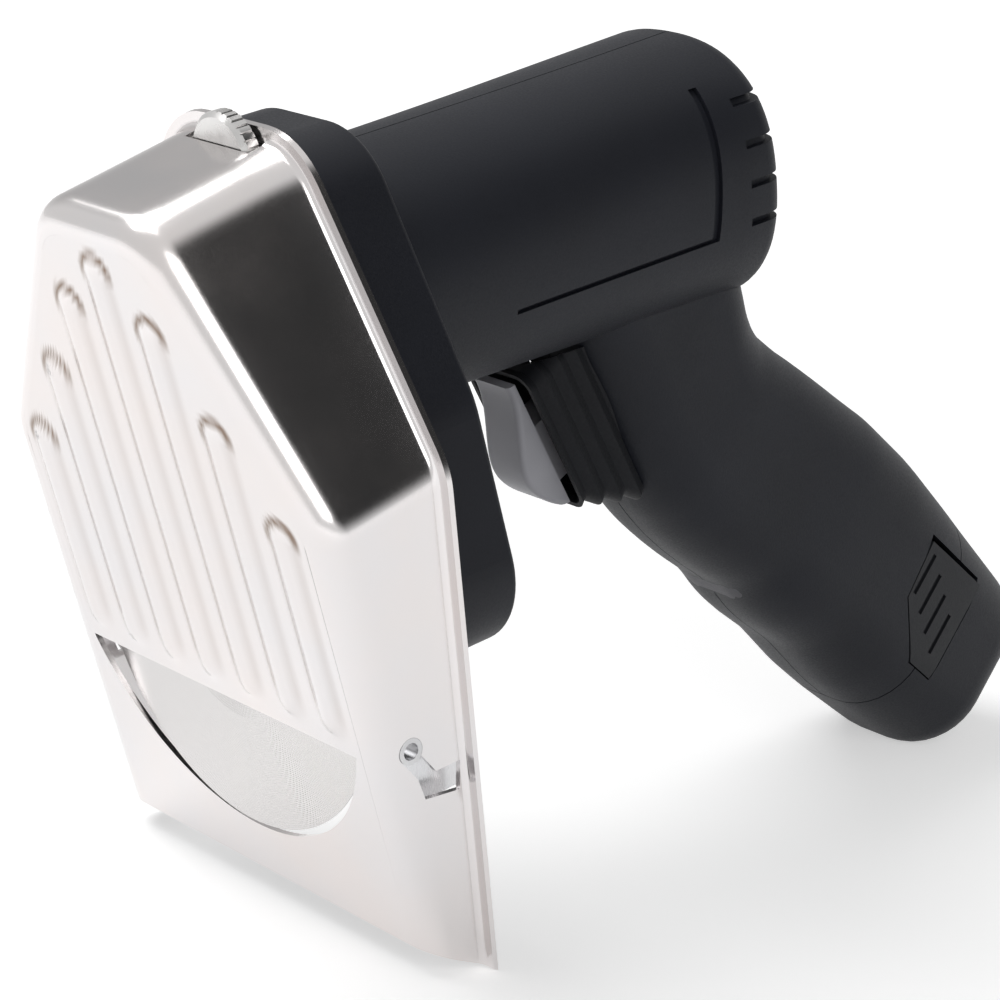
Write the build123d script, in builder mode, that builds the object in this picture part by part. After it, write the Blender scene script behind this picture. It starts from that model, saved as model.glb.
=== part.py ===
from build123d import *
import os
from math import acos, asin, atan2, cos, degrees, hypot, pi, radians, sin, sqrt, tan

# Hand-held electric kebab slicer, modelled with the blade's axis along Y through the origin.
# The guard's rear rim lies at y = 0, the sliding plate faces -Y, the handle is at +Y.
# The finished pieces are tilted as the tool stands: on the guard's lower edge and the battery's heel.

# Shared gaps
overrun = 2.0
running_gap = 0.05
cover_gap = 0.3
seat_gap = 0.1

# Blade
blade_radius = 40.0
blade_thickness = 1.2
blade_rim_front = 15.4
blade_dish = 2.2
blade_hub_radius = 13.5
blade_cone_width = 5.0
blade_bevel_width = 3.5
blade_edge_thickness = 0.2

# Blade shaft, its washer and its nut
shaft_radius = 4.0
shaft_tail_radius = 3.0
shaft_collar_radius = 6.5
shaft_collar_length = 2.2
shaft_nose = 0.6
shaft_flats = 6.4
washer_radius = 8.0
washer_thickness = 0.8
nut_across_flats = 13.0
nut_thickness = 3.4

# Guard, pressed from sheet
guard_half_width = 46.8
guard_top = 88.4
guard_bend_height = 37.3
guard_apex_half_width = 16.1
guard_sheet = 1.1
guard_rim_width = 2.6
guard_rim_bottom = 60.0
guard_plate_bottom = 52.5
guard_depth = 21.1
guard_face_angle = 9.26
guard_front_radius = 9.0
guard_top_corner = 13.5
guard_side_corner = 12.0

# Beads pressed in the sliding plate
bead_pitch = 10.35
bead_half_count = 3
bead_width = 3.2
bead_height = 0.7
bead_round = 0.5
bead_border = 16.0
bead_top_border = 13.4
bead_above_chord = 3.0

# Crescent opening under the beads
mouth_radius = 41.5
mouth_chord_depth = 12.4
mouth_corner = 1.5

# Guard pivot and its keyholes
pivot_front = 12.6
pivot_depth = 11.4
pivot_pin_radius = 2.5
keyhole_window_width = 9.6
keyhole_window_foot = 7.2
keyhole_window_height = 4.4
keyhole_window_drop = 5.8
keyhole_window_back = 2.1
keyhole_neck_width = 4.1

# Bracket that carries the guard
bracket_sheet = 1.2
bracket_wall_gap = 2.5
bracket_top = 16.0
bracket_bottom = 22.0
bracket_arm_top = 6.0
bracket_arm_bottom = 24.0
bracket_arm_margin = 2.9
bracket_arm_back_slope = 3.0
pin_head_radius = 3.6
pin_head_thickness = 0.8
pin_socket_radius = 1.6
pin_socket_depth = 1.6

# Thumb wheel on its stud
wheel_radius = 8.3
wheel_thickness = 3.2
wheel_height = 84.8
wheel_back = 1.8
wheel_chamfer = 0.9
wheel_knurls = 36
wheel_knurl_depth = 0.35
wheel_bore_radius = 2.5
wheel_side_gap = 0.8
stud_radius = 2.0
stud_length = 16.0
stud_seat_depth = 7.0
stud_chamfer = 0.5

# Gear case
case_front = 0.6
case_back = 15.0
case_edge_radius = 1.2
case_top_corner_x = 6.5
case_top_corner_height = 71.5
case_top_corner_radius = 16.5
case_side_x = 20.0
case_side_height = 36.0
case_side_radius = 21.0
case_low_corner_x = 30.0
case_low_corner_height = 12.0
case_low_corner_radius = 16.5
case_foot_radius = 19.5
case_floor = 9.5
cover_thickness = 2.6
cover_margin = 6.0
collar_length = 7.0

# Gears
gear_module = 1.0
gear_width = 5.0
gear_front = 4.0
gear_backlash = 0.12
gear_addendum_share = 0.95
gear_dedendum_share = 1.25
pressure_angle = 20.0
pinion_teeth = 16
idler_teeth = 34
output_teeth = 23
gear_hub_radius = 7.0
gear_space_margin = 2.5
idler_shaft_radius = 3.0
idler_shaft_front = 1.8
idler_shaft_back = 13.0
idler_hole_count = 6
idler_hole_radius = 2.6

# Bearings
front_bearing_radius = 11.0
front_bearing_width = 7.0
front_bearing_front = 5.6
rear_bearing_radius = 6.5
rear_bearing_width = 3.5
bearing_ring_share = 0.3
boss_radius = 13.5
boss_front = 7.0
boss_chamfer = 0.8
seal_radius = 8.0

# Motor
motor_radius = 19.0
motor_length = 57.0
motor_can_wall = 1.4
motor_shaft_radius = 1.6
motor_boss_radius = 6.0
motor_boss_length = 3.0
bushing_radius = 4.0
magnet_thickness = 3.0
magnet_length = 36.0
magnet_span = 120.0
armature_radius = 14.0
armature_length = 28.0
armature_front_gap = 9.0
armature_slots = 5
armature_slot_width = 2.0
armature_slot_depth = 6.0
winding_radius = 10.5
winding_overhang = 4.0
winding_chamfer = 1.5
commutator_radius = 4.5
brush_width = 3.0
brush_height = 6.0
brush_length = 5.0
brush_place = 7.6
brush_margin = 1.0
end_bell_length = 6.0
end_bell_wall = 2.0
terminal_width = 4.8
terminal_thickness = 0.8
terminal_length = 12.0
terminal_offset = 11.0

# Housing: barrel, round the motor
housing_wall = 2.0
barrel_front_radius = 24.0
barrel_straight = 20.0
barrel_shoulder = 77.0
barrel_shoulder_radius = 26.3
barrel_rim = 99.0
barrel_rim_radius = 12.0
barrel_length = 100.5

# Grooves on the barrel
groove_depth = 0.9
groove_width = 1.0
groove_bar_width = 1.9
groove_height = 48.4
groove_start = 23.7
groove_bar_place = 74.0
groove_bar_top = 73.9
groove_bar_lean = 3.0
ridge_groove_width = 1.6
ridge_groove_depth = 1.3
ridge_start = 83.0
ridge_pitch = 7.6
ridge_first_height = 70.2
ridge_count = 4

# Housing: grip, its axis running down and back from its root under the barrel
grip_slope = 46.9
grip_root_y = 72.7
grip_root_z = 28.5
grip_length = 150.0
grip_depth = 52.0
grip_width = 41.0
grip_corner_share = 0.8
cap_joint = 117.0
cap_joint_slope = 5.6
cap_end_radius = 10.0
grip_section_count = 28
# Form of the grip: place along the length, front and back as parts of the depth, part of the width
grip_shares = [
    (-0.067, -0.063, 0.860, 0.83),
    (0.053, -0.190, 0.730, 0.83),
    (0.133, -0.288, 0.596, 0.84),
    (0.180, -0.338, 0.504, 0.85),
    (0.227, -0.379, 0.452, 0.87),
    (0.287, -0.404, 0.460, 0.88),
    (0.340, -0.413, 0.483, 0.89),
    (0.393, -0.408, 0.498, 0.91),
    (0.453, -0.440, 0.510, 0.94),
    (0.507, -0.446, 0.523, 0.965),
    (0.547, -0.423, 0.532, 0.975),
    (0.627, -0.467, 0.541, 0.985),
    (0.733, -0.465, 0.541, 0.99),
    (0.800, -0.450, 0.520, 0.99),
    (0.900, -0.438, 0.487, 0.97),
    (1.000, -0.425, 0.462, 0.95),
]

# Battery pack
joint_gap = 0.3
cell_radius = 9.0
cell_length = 65.0
cell_end = 144.0
sleeve_wall = 0.6
sleeve_shift = 2.0
sleeve_end_thickness = 1.5
contact_width = 5.0
contact_thickness = 0.8
contact_length = 9.0
contact_slot_depth = 6.0
contact_spacing = 11.0
terminal_block_start = 64.0
terminal_block_length = 11.0
button_start = 102.6
button_shoulder = 104.0
button_corner = 115.4
button_end = 124.0
button_back = 13.0
button_front = 10.5
button_slot = 1.4
button_thickness = 1.6
button_travel = 1.0
button_ridge_width = 1.2
button_ridge_depth = 0.6
button_ridge_pitch = 4.7
button_ridge_count = 4
button_ridge_length = 9.5
button_ridge_lean = 2.6
button_edge = 2.0

# Trigger, boot and switch
trigger_tilt = 22.4
trigger_root_y = 71.8
trigger_root_z = 13.4
trigger_width = 11.0
trigger_travel = 5.5
trigger_reach = 13.0
trigger_height = 30.4
trigger_drop = 11.1
trigger_bulge = 6.6
trigger_edge = 1.3
trigger_stem_width = 7.0
trigger_stem_height = 14.0
trigger_stem_inside = 3.0
plunger_radius = 2.0
plunger_length = 13.0
boot_width = 23.0
boot_front_width = 19.0
boot_top = 24.0
boot_front_top = 21.5
boot_bottom = 23.0
boot_front_bottom = 12.5
boot_inside = 3.0
boot_pleats = 4
boot_pleat_depth = 1.3
boot_wall = 1.0
boot_corner = 3.5
switch_width = 19.0
switch_height = 22.0
switch_depth = 18.0
switch_inside = 13.0
switch_rib = 2.0
switch_rib_height = 36.0
spring_radius = 3.0
spring_wire_radius = 0.5
spring_turns = 5
# Trigger's front: height and bulge as parts of their sizes
trigger_front_shares = [(1.0, 0.24), (0.61, 0.68), (0.32, 1.0), (0.12, 0.65), (0.01, 0.26)]

# Screws
screw_radius = 1.5
screw_head_radius = 2.8
screw_head_length = 2.0
screw_boss_radius = 3.4
screw_grip_length = 9.0
# Housing screws on the barrel: place along, height, and head depth; on the grip: the same
barrel_screw_shares = [(0.83, 0.68, 0.58), (1.14, -0.10, 0.62)]
grip_screw_shares = [(0.4, 0.35, 0.33), (0.4, -0.30, 0.29)]
case_screw_radius = 1.4
case_screw_head_radius = 2.6
case_screw_head_length = 1.6
case_screw_head_chamfer = 0.4
case_screw_socket = 2.5
case_screw_length = 9.0
bracket_screw_x = 34.0
bracket_screw_height = 9.0
# Cover screws: side and height as parts of the gear case's half width and top corner height
cover_screw_shares = [(0.26, 1.035), (0.56, 0.475)]
motor_screw_spread = 12.5
motor_screw_bite = 2.0

# Standing place
heel_flat_depth = 0.5

# Places worked out from the sizes above
blade_hub_front = blade_rim_front - blade_dish
blade_hub_back = blade_hub_front - blade_thickness
nut_front = blade_hub_front + washer_thickness + nut_thickness
shaft_front = nut_front + shaft_nose
gear_back = gear_front + gear_width
output_radius = gear_module * output_teeth / 2
idler_radius = gear_module * idler_teeth / 2
pinion_radius = gear_module * pinion_teeth / 2
idler_height = output_radius + idler_radius
motor_height = idler_height + idler_radius + pinion_radius
motor_back = case_back + motor_length
rear_bearing_back = case_floor + rear_bearing_width
front_bearing_back = front_bearing_width - front_bearing_front
cover_back = case_front + cover_thickness
bracket_half_width = guard_half_width - guard_sheet - bracket_wall_gap
bracket_front = case_front - bracket_sheet
grip_angle = radians(grip_slope)
trigger_angle = radians(trigger_tilt)
shoulder_angle = atan2(guard_top - guard_bend_height, guard_half_width - guard_apex_half_width)
face_angle = radians(guard_face_angle)
cell_spread = cell_radius * sqrt(3) / 2
cell_start = cell_end - cell_length

# Planes and axes
motor_axis = Axis((0, 0, motor_height), (0, 1, 0))
motor_side = Plane(origin=(0, 0, motor_height), x_dir=(0, 1, 0), z_dir=(1, 0, 0))
grip_root = (0, grip_root_y, grip_root_z)
grip_side = Plane(origin=grip_root, x_dir=(0, cos(grip_angle), -sin(grip_angle)), z_dir=(1, 0, 0))
trigger_root = (0, trigger_root_y, trigger_root_z)
trigger_out = (0, -cos(trigger_angle), -sin(trigger_angle))
trigger_face = Plane(origin=trigger_root, x_dir=(1, 0, 0), z_dir=trigger_out)
trigger_side = Plane(origin=trigger_root, x_dir=trigger_out, z_dir=(-1, 0, 0))
plate_face = Plane(origin=(0, -guard_depth, 0), x_dir=(1, 0, 0), z_dir=(0, -cos(face_angle), -sin(face_angle)))


def facing_front(y, height=0):
    """Plane across the tool at y: local x is X, local y is Z, and it looks forward."""
    return Plane(origin=(0, y, height), x_dir=(1, 0, 0), z_dir=(0, -1, 0))


def across_grip(place, turn=0):
    """Plane across the grip at a distance from its root: local y points to the grip's back."""
    origin = grip_side.from_local_coords((place, 0, 0))
    direction = (0, cos(grip_angle - turn), -sin(grip_angle - turn))
    return Plane(origin=origin, x_dir=(-1, 0, 0), z_dir=direction)


# Standing place: the line from the guard's lower rim to the battery's heel is the floor
heel_front = grip_shares[-1][1] * grip_depth + cap_end_radius
heel_centre = grip_side.from_local_coords((grip_length - cap_end_radius, heel_front, 0))
heel_drop = -guard_rim_bottom - heel_centre.Z
heel_reach = hypot(heel_drop, heel_centre.Y)
floor_angle = atan2(heel_drop, heel_centre.Y) + asin((cap_end_radius - heel_flat_depth) / heel_reach)
floor_plane = Plane(
    origin=(0, 0, -guard_rim_bottom),
    x_dir=(1, 0, 0),
    z_dir=(0, sin(floor_angle), cos(floor_angle)),
)

# Blade: dished in front of its hub, ground behind its edge
with BuildPart() as blade:
    with BuildSketch(Plane.YZ):
        with BuildLine():
            Polyline(
                (-blade_hub_front, 0),
                (-blade_hub_front, blade_hub_radius),
                (-blade_rim_front, blade_hub_radius + blade_cone_width),
                (-blade_rim_front, blade_radius),
                (blade_edge_thickness - blade_rim_front, blade_radius),
                (blade_thickness - blade_rim_front, blade_radius - blade_bevel_width),
                (blade_thickness - blade_rim_front, blade_hub_radius + blade_cone_width),
                (-blade_hub_back, blade_hub_radius),
                (-blade_hub_back, 0),
                close=True,
            )
        make_face()
    revolve(axis=Axis.Y)
    with BuildSketch(facing_front(0)):
        Circle(shaft_radius + running_gap)
        Rectangle(blade_radius, shaft_flats + 2 * running_gap, mode=Mode.INTERSECT)
    extrude(amount=blade_rim_front + overrun, mode=Mode.SUBTRACT)
blade.part.label = "blade"

# Blade shaft: flats and nut in front, collar behind the blade, tail in the rear bearing
with BuildPart() as blade_shaft:
    with BuildSketch(Plane.YZ):
        with BuildLine():
            Polyline(
                (-shaft_front, 0),
                (-shaft_front, shaft_radius),
                (-blade_hub_back, shaft_radius),
                (-blade_hub_back, shaft_collar_radius),
                (shaft_collar_length - blade_hub_back, shaft_collar_radius),
                (shaft_collar_length - blade_hub_back, shaft_radius),
                (gear_back, shaft_radius),
                (gear_back, shaft_tail_radius),
                (rear_bearing_back, shaft_tail_radius),
                (rear_bearing_back, 0),
                close=True,
            )
        make_face()
    revolve(axis=Axis.Y)
    with BuildSketch(facing_front(-blade_hub_back)):
        Circle(shaft_radius + overrun)
        Rectangle(blade_radius, shaft_flats, mode=Mode.SUBTRACT)
    extrude(amount=blade_thickness + washer_thickness, mode=Mode.SUBTRACT)
    chamfer(blade_shaft.edges().sort_by(Axis.Y)[0], length=shaft_nose)
blade_shaft.part.label = "blade_shaft"

with BuildPart() as blade_washer:
    with BuildSketch(facing_front(-blade_hub_front)):
        Circle(washer_radius)
        with BuildSketch(facing_front(-blade_hub_front), mode=Mode.SUBTRACT):
            Circle(shaft_radius + running_gap)
            Rectangle(blade_radius, shaft_flats + 2 * running_gap, mode=Mode.INTERSECT)
    extrude(amount=washer_thickness)
blade_washer.part.label = "blade_washer"

with BuildPart() as blade_nut:
    with BuildSketch(facing_front(-blade_hub_front - washer_thickness)):
        RegularPolygon(nut_across_flats / 2, side_count=6, major_radius=False)
        Circle(shaft_radius + running_gap, mode=Mode.SUBTRACT)
    extrude(amount=nut_thickness)
blade_nut.part.label = "blade_nut"


def tooth_half_angle(teeth, radius):
    """Half of an involute tooth's angle at a radius, in degrees."""
    pitch_radius = gear_module * teeth / 2
    pitch_roll = radians(pressure_angle)
    roll = acos(min(1, pitch_radius * cos(pitch_roll) / radius))
    half_at_pitch = (pi * gear_module / 2 - gear_backlash) / (2 * pitch_radius)
    return degrees(half_at_pitch + tan(pitch_roll) - pitch_roll - tan(roll) + roll)


def gear_points(teeth, first_angle):
    """Corners of a gear's outline, with one tooth centred on the first angle."""
    pitch_radius = gear_module * teeth / 2
    root = pitch_radius - gear_dedendum_share * gear_module
    tip = pitch_radius + gear_addendum_share * gear_module
    flank = [root, pitch_radius, tip]
    points = []
    for tooth in range(teeth):
        centre = first_angle + tooth * 360 / teeth
        for side, radii in ((-1, flank), (1, flank[::-1])):
            for radius in radii:
                angle = radians(centre + side * tooth_half_angle(teeth, radius))
                points.append((radius * cos(angle), radius * sin(angle)))
    return points


# Gear train: pinion on the motor, idler on a fixed shaft, output gear on the blade shaft
with BuildPart() as output_gear:
    with BuildSketch(facing_front(gear_back)):
        with BuildLine():
            Polyline(*gear_points(output_teeth, 90), close=True)
        make_face()
    extrude(amount=gear_width)
    with BuildSketch(facing_front(gear_front)):
        Circle(gear_hub_radius)
    extrude(amount=gear_front - front_bearing_back)
    with BuildSketch(facing_front(gear_back)):
        Circle(shaft_radius + running_gap)
    extrude(amount=gear_back, mode=Mode.SUBTRACT)
output_gear.part.label = "output_gear"

with BuildPart() as idler_gear:
    with BuildSketch(facing_front(gear_back, idler_height)):
        with BuildLine():
            Polyline(*gear_points(idler_teeth, 90 + 180 / idler_teeth), close=True)
        make_face()
        Circle(idler_shaft_radius + running_gap, mode=Mode.SUBTRACT)
        with PolarLocations((idler_shaft_radius + idler_radius) / 2, idler_hole_count):
            Circle(idler_hole_radius, mode=Mode.SUBTRACT)
    extrude(amount=gear_width)
idler_gear.part.label = "idler_gear"

with BuildPart() as motor_pinion:
    with BuildSketch(facing_front(gear_back, motor_height)):
        with BuildLine():
            Polyline(*gear_points(pinion_teeth, -90), close=True)
        make_face()
        Circle(motor_shaft_radius + running_gap, mode=Mode.SUBTRACT)
    extrude(amount=gear_width)
motor_pinion.part.label = "motor_pinion"

with BuildPart() as idler_shaft:
    with BuildSketch(facing_front(idler_shaft_back, idler_height)):
        Circle(idler_shaft_radius)
    extrude(amount=idler_shaft_back - idler_shaft_front)
idler_shaft.part.label = "idler_shaft"


def ring(y, outer, inner, width):
    """Ring round the blade's axis, its back at y."""
    with BuildPart() as turned:
        with BuildSketch(facing_front(y)):
            Circle(outer)
            Circle(inner, mode=Mode.SUBTRACT)
        extrude(amount=width)
    return turned


# Bearings of the blade shaft, each as its outer and inner ring, and the seal in front
front_ring = bearing_ring_share * (front_bearing_radius - shaft_radius)
front_bearing_outer = ring(
    front_bearing_back, front_bearing_radius, front_bearing_radius - front_ring, front_bearing_width
)
front_bearing_outer.part.label = "front_bearing_outer"
front_bearing_inner = ring(
    front_bearing_back, shaft_radius + front_ring, shaft_radius + running_gap, front_bearing_width
)
front_bearing_inner.part.label = "front_bearing_inner"
rear_ring = bearing_ring_share * (rear_bearing_radius - shaft_tail_radius)
rear_bearing_outer = ring(
    rear_bearing_back, rear_bearing_radius, rear_bearing_radius - rear_ring, rear_bearing_width
)
rear_bearing_outer.part.label = "rear_bearing_outer"
rear_bearing_inner = ring(
    rear_bearing_back, shaft_tail_radius + rear_ring, shaft_tail_radius + running_gap, rear_bearing_width
)
rear_bearing_inner.part.label = "rear_bearing_inner"
shaft_seal = ring(
    -front_bearing_front, seal_radius, shaft_radius + running_gap, boss_front - front_bearing_front
)
shaft_seal.part.label = "shaft_seal"


def case_outline(plane, inset):
    """Outline of the gear case, drawn in by an inset."""
    with BuildSketch(plane) as outline:
        with BuildLine():
            for side in (-1, 1):
                top_corner = (side * case_top_corner_x, case_top_corner_height)
                CenterArc(top_corner, case_top_corner_radius - inset, 0, 360)
                CenterArc((side * case_side_x, case_side_height), case_side_radius - inset, 0, 360)
                low_corner = (side * case_low_corner_x, case_low_corner_height)
                CenterArc(low_corner, case_low_corner_radius - inset, 0, 360)
            CenterArc((0, 0), case_foot_radius - inset, 0, 360)
        make_hull()
    return outline.sketch


def gear_space(plane):
    """Outline of the space round the three gears, wider at the top for the motor's screws."""
    with BuildSketch(plane) as outline:
        with BuildLine():
            CenterArc((0, 0), output_radius + gear_space_margin, 0, 360)
            CenterArc((0, idler_height), idler_radius + gear_space_margin, 0, 360)
            CenterArc((0, motor_height), motor_screw_spread + case_screw_head_radius + cover_gap, 0, 360)
        make_hull()
    return outline.sketch


cover_screw_places = [
    (side * x_share * (case_side_x + case_side_radius), height_share * case_top_corner_height)
    for x_share, height_share in cover_screw_shares
    for side in (-1, 1)
]
bracket_screw_places = [(side * bracket_screw_x, bracket_screw_height) for side in (-1, 1)]
motor_screw_places = [(side * motor_screw_spread, motor_height) for side in (-1, 1)]

# Gear case: cover recess, gear space, seats for shafts and bearings, and a collar for the housing
with BuildPart() as gear_case:
    extrude(case_outline(facing_front(case_back), 0), amount=case_back - case_front)
    fillet(gear_case.faces().sort_by(Axis.Y)[0].edges(), radius=case_edge_radius)
    fillet(gear_case.faces().sort_by(Axis.Y)[-1].edges(), radius=case_edge_radius)
    with BuildSketch(facing_front(case_back, motor_height)):
        Circle(barrel_front_radius - housing_wall - seat_gap)
    extrude(amount=-collar_length)
    recess = case_outline(facing_front(cover_back), cover_margin)
    extrude(recess, amount=cover_thickness + overrun, mode=Mode.SUBTRACT)
    space = gear_space(facing_front(case_floor))
    extrude(space, amount=case_floor - cover_back, mode=Mode.SUBTRACT)
    with BuildSketch(facing_front(rear_bearing_back)):
        Circle(rear_bearing_radius + seat_gap)
        with Locations((0, idler_height)):
            Circle(idler_shaft_radius + running_gap)
    extrude(amount=rear_bearing_back - case_floor, mode=Mode.SUBTRACT)
    with BuildSketch(facing_front(case_back + collar_length, motor_height)):
        Circle(motor_radius + seat_gap)
    extrude(amount=collar_length, mode=Mode.SUBTRACT)
    with BuildSketch(facing_front(case_back, motor_height)):
        Circle(motor_boss_radius + seat_gap)
        with Locations((-motor_screw_spread, 0), (motor_screw_spread, 0)):
            Circle(case_screw_radius + running_gap)
    extrude(amount=case_back - case_floor, mode=Mode.SUBTRACT)
    with BuildSketch(facing_front(cover_back + case_screw_length)):
        with Locations(*cover_screw_places, *bracket_screw_places):
            Circle(case_screw_radius + running_gap)
    extrude(amount=case_screw_length, mode=Mode.SUBTRACT)
    with BuildSketch(facing_front(case_front + stud_seat_depth, wheel_height)):
        Circle(stud_radius + running_gap)
    extrude(amount=stud_seat_depth, mode=Mode.SUBTRACT)
gear_case.part.label = "gear_case"

# Cover of the gear case, with the front bearing and the seal in its boss
with BuildPart() as gear_cover:
    plate = case_outline(facing_front(cover_back), cover_margin + seat_gap)
    extrude(plate, amount=cover_thickness)
    with BuildSketch(facing_front(case_front)):
        Circle(boss_radius)
    extrude(amount=case_front + boss_front)
    chamfer(gear_cover.faces().sort_by(Axis.Y)[0].edges(), length=boss_chamfer)
    with BuildSketch(facing_front(cover_back)):
        Circle(front_bearing_radius + running_gap)
    extrude(amount=cover_back + front_bearing_front, mode=Mode.SUBTRACT)
    with BuildSketch(facing_front(0)):
        Circle(seal_radius + running_gap)
    extrude(amount=boss_front + overrun, mode=Mode.SUBTRACT)
    with BuildSketch(facing_front(cover_back, idler_height)):
        Circle(idler_shaft_radius + running_gap)
    extrude(amount=cover_back - idler_shaft_front, mode=Mode.SUBTRACT)
    with BuildSketch(facing_front(cover_back)):
        with Locations(*cover_screw_places, *bracket_screw_places):
            Circle(case_screw_radius + running_gap)
    extrude(amount=cover_thickness, mode=Mode.SUBTRACT)
gear_cover.part.label = "gear_cover"


def screw_group(places, head_back, length):
    """Screws at a list of places, their heads facing front from head_back."""
    with BuildPart() as screws:
        with BuildSketch(facing_front(head_back)):
            with Locations(*places):
                Circle(case_screw_head_radius)
        extrude(amount=case_screw_head_length)
        chamfer(screws.faces().sort_by(Axis.Y)[: len(places)].edges(), length=case_screw_head_chamfer)
        with BuildSketch(facing_front(head_back)):
            with Locations(*places):
                Circle(case_screw_radius)
        extrude(amount=-length)
        with BuildSketch(facing_front(head_back - case_screw_head_length)):
            with Locations(*places):
                RegularPolygon(case_screw_socket / 2, side_count=6, major_radius=False)
        extrude(amount=-case_screw_head_length / 2, mode=Mode.SUBTRACT)
    return screws


cover_screws = screw_group(cover_screw_places, case_front, case_screw_length)
cover_screws.part.label = "cover_screws"
bracket_screws = screw_group(bracket_screw_places, bracket_front, case_screw_length + bracket_sheet)
bracket_screws.part.label = "bracket_screws"
motor_screws = screw_group(motor_screw_places, case_floor, case_back - case_floor + motor_screw_bite)
motor_screws.part.label = "motor_screws"

# Motor: can, end bell, magnets, bushings, brushes
with BuildPart() as motor_can:
    with BuildSketch(facing_front(motor_back, motor_height)):
        Circle(motor_radius)
    extrude(amount=motor_length)
    fillet(motor_can.edges().sort_by(Axis.Y)[0], radius=motor_can_wall)
    with BuildSketch(facing_front(motor_back, motor_height)):
        Circle(motor_radius - motor_can_wall)
    extrude(amount=motor_length - motor_can_wall, mode=Mode.SUBTRACT)
    with BuildSketch(facing_front(case_back + motor_can_wall, motor_height)):
        Circle(motor_boss_radius)
    extrude(amount=motor_can_wall + motor_boss_length)
    with BuildSketch(facing_front(motor_back, motor_height)):
        Circle(bushing_radius + seat_gap)
    extrude(amount=motor_length + motor_boss_length, mode=Mode.SUBTRACT)
    with BuildSketch(facing_front(case_back + motor_screw_bite)):
        with Locations(*motor_screw_places):
            Circle(case_screw_radius + running_gap)
    extrude(amount=motor_screw_bite + overrun, mode=Mode.SUBTRACT)
motor_can.part.label = "motor_can"

with BuildPart() as motor_bushings:
    with BuildSketch(facing_front(case_back + motor_can_wall, motor_height)):
        Circle(bushing_radius)
        Circle(motor_shaft_radius + running_gap, mode=Mode.SUBTRACT)
    extrude(amount=motor_can_wall + motor_boss_length)
    with BuildSketch(facing_front(motor_back, motor_height)):
        Circle(bushing_radius)
        Circle(motor_shaft_radius + running_gap, mode=Mode.SUBTRACT)
    extrude(amount=end_bell_length)
motor_bushings.part.label = "motor_bushings"

with BuildPart() as motor_end_bell:
    with BuildSketch(facing_front(motor_back, motor_height)):
        Circle(motor_radius - motor_can_wall - seat_gap)
        Circle(bushing_radius + seat_gap, mode=Mode.SUBTRACT)
        with Locations((-terminal_offset, 0), (terminal_offset, 0)):
            Rectangle(terminal_width + seat_gap, terminal_thickness + seat_gap, mode=Mode.SUBTRACT)
    extrude(amount=end_bell_length)
    with BuildSketch(facing_front(motor_back - end_bell_length, motor_height)):
        with Locations((0, brush_place), (0, -brush_place)):
            Rectangle(brush_width + end_bell_wall, brush_height)
    extrude(amount=brush_length)
    with BuildSketch(facing_front(motor_back - end_bell_length, motor_height)):
        with Locations((0, brush_place), (0, -brush_place)):
            Rectangle(brush_width + seat_gap, brush_height)
    extrude(amount=brush_length, mode=Mode.SUBTRACT)
motor_end_bell.part.label = "motor_end_bell"

with BuildPart() as motor_magnets:
    magnet_outer = motor_radius - motor_can_wall - running_gap
    with BuildSketch(facing_front(case_back + armature_front_gap / 2 + magnet_length, motor_height)):
        Circle(magnet_outer)
        Circle(magnet_outer - magnet_thickness, mode=Mode.SUBTRACT)
        gap_height = 2 * magnet_outer * cos(radians(magnet_span / 2))
        Rectangle(gap_height, 2 * motor_radius, mode=Mode.SUBTRACT)
    extrude(amount=magnet_length)
motor_magnets.part.label = "motor_magnets"

with BuildPart() as motor_brushes:
    with BuildSketch(facing_front(motor_back - end_bell_length, motor_height)):
        with Locations((0, brush_place), (0, -brush_place)):
            Rectangle(brush_width, brush_height - 2 * running_gap)
    extrude(amount=brush_length)
motor_brushes.part.label = "motor_brushes"

# Rotor: shaft, wound core and commutator
with BuildPart() as motor_shaft:
    with BuildSketch(facing_front(motor_back, motor_height)):
        Circle(motor_shaft_radius)
    extrude(amount=motor_back - gear_front)
motor_shaft.part.label = "motor_shaft"

armature_back = case_back + armature_front_gap + armature_length
with BuildPart() as motor_armature:
    with BuildSketch(facing_front(armature_back, motor_height)):
        Circle(armature_radius)
        Circle(motor_shaft_radius + running_gap, mode=Mode.SUBTRACT)
        with PolarLocations(armature_radius - armature_slot_depth / 2, armature_slots):
            Rectangle(armature_slot_depth + overrun, armature_slot_width, mode=Mode.SUBTRACT)
    extrude(amount=armature_length)
motor_armature.part.label = "motor_armature"

with BuildPart() as motor_windings:
    for back in (armature_back + winding_overhang, armature_back - armature_length):
        with BuildSketch(facing_front(back, motor_height)):
            Circle(winding_radius)
            Circle(motor_shaft_radius + running_gap, mode=Mode.SUBTRACT)
        extrude(amount=winding_overhang)
    chamfer(motor_windings.edges().filter_by(GeomType.CIRCLE).group_by(SortBy.RADIUS)[-1], length=winding_chamfer)
motor_windings.part.label = "motor_windings"

commutator_back = motor_back - end_bell_length - brush_margin
with BuildPart() as motor_commutator:
    with BuildSketch(facing_front(commutator_back, motor_height)):
        Circle(commutator_radius)
        Circle(motor_shaft_radius + running_gap, mode=Mode.SUBTRACT)
    extrude(amount=commutator_back - armature_back - winding_overhang)
motor_commutator.part.label = "motor_commutator"

with BuildPart() as motor_terminals:
    with BuildSketch(facing_front(motor_back + terminal_length - end_bell_length, motor_height)):
        with Locations((-terminal_offset, 0), (terminal_offset, 0)):
            Rectangle(terminal_width, terminal_thickness)
    extrude(amount=terminal_length)
motor_terminals.part.label = "motor_terminals"

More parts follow.
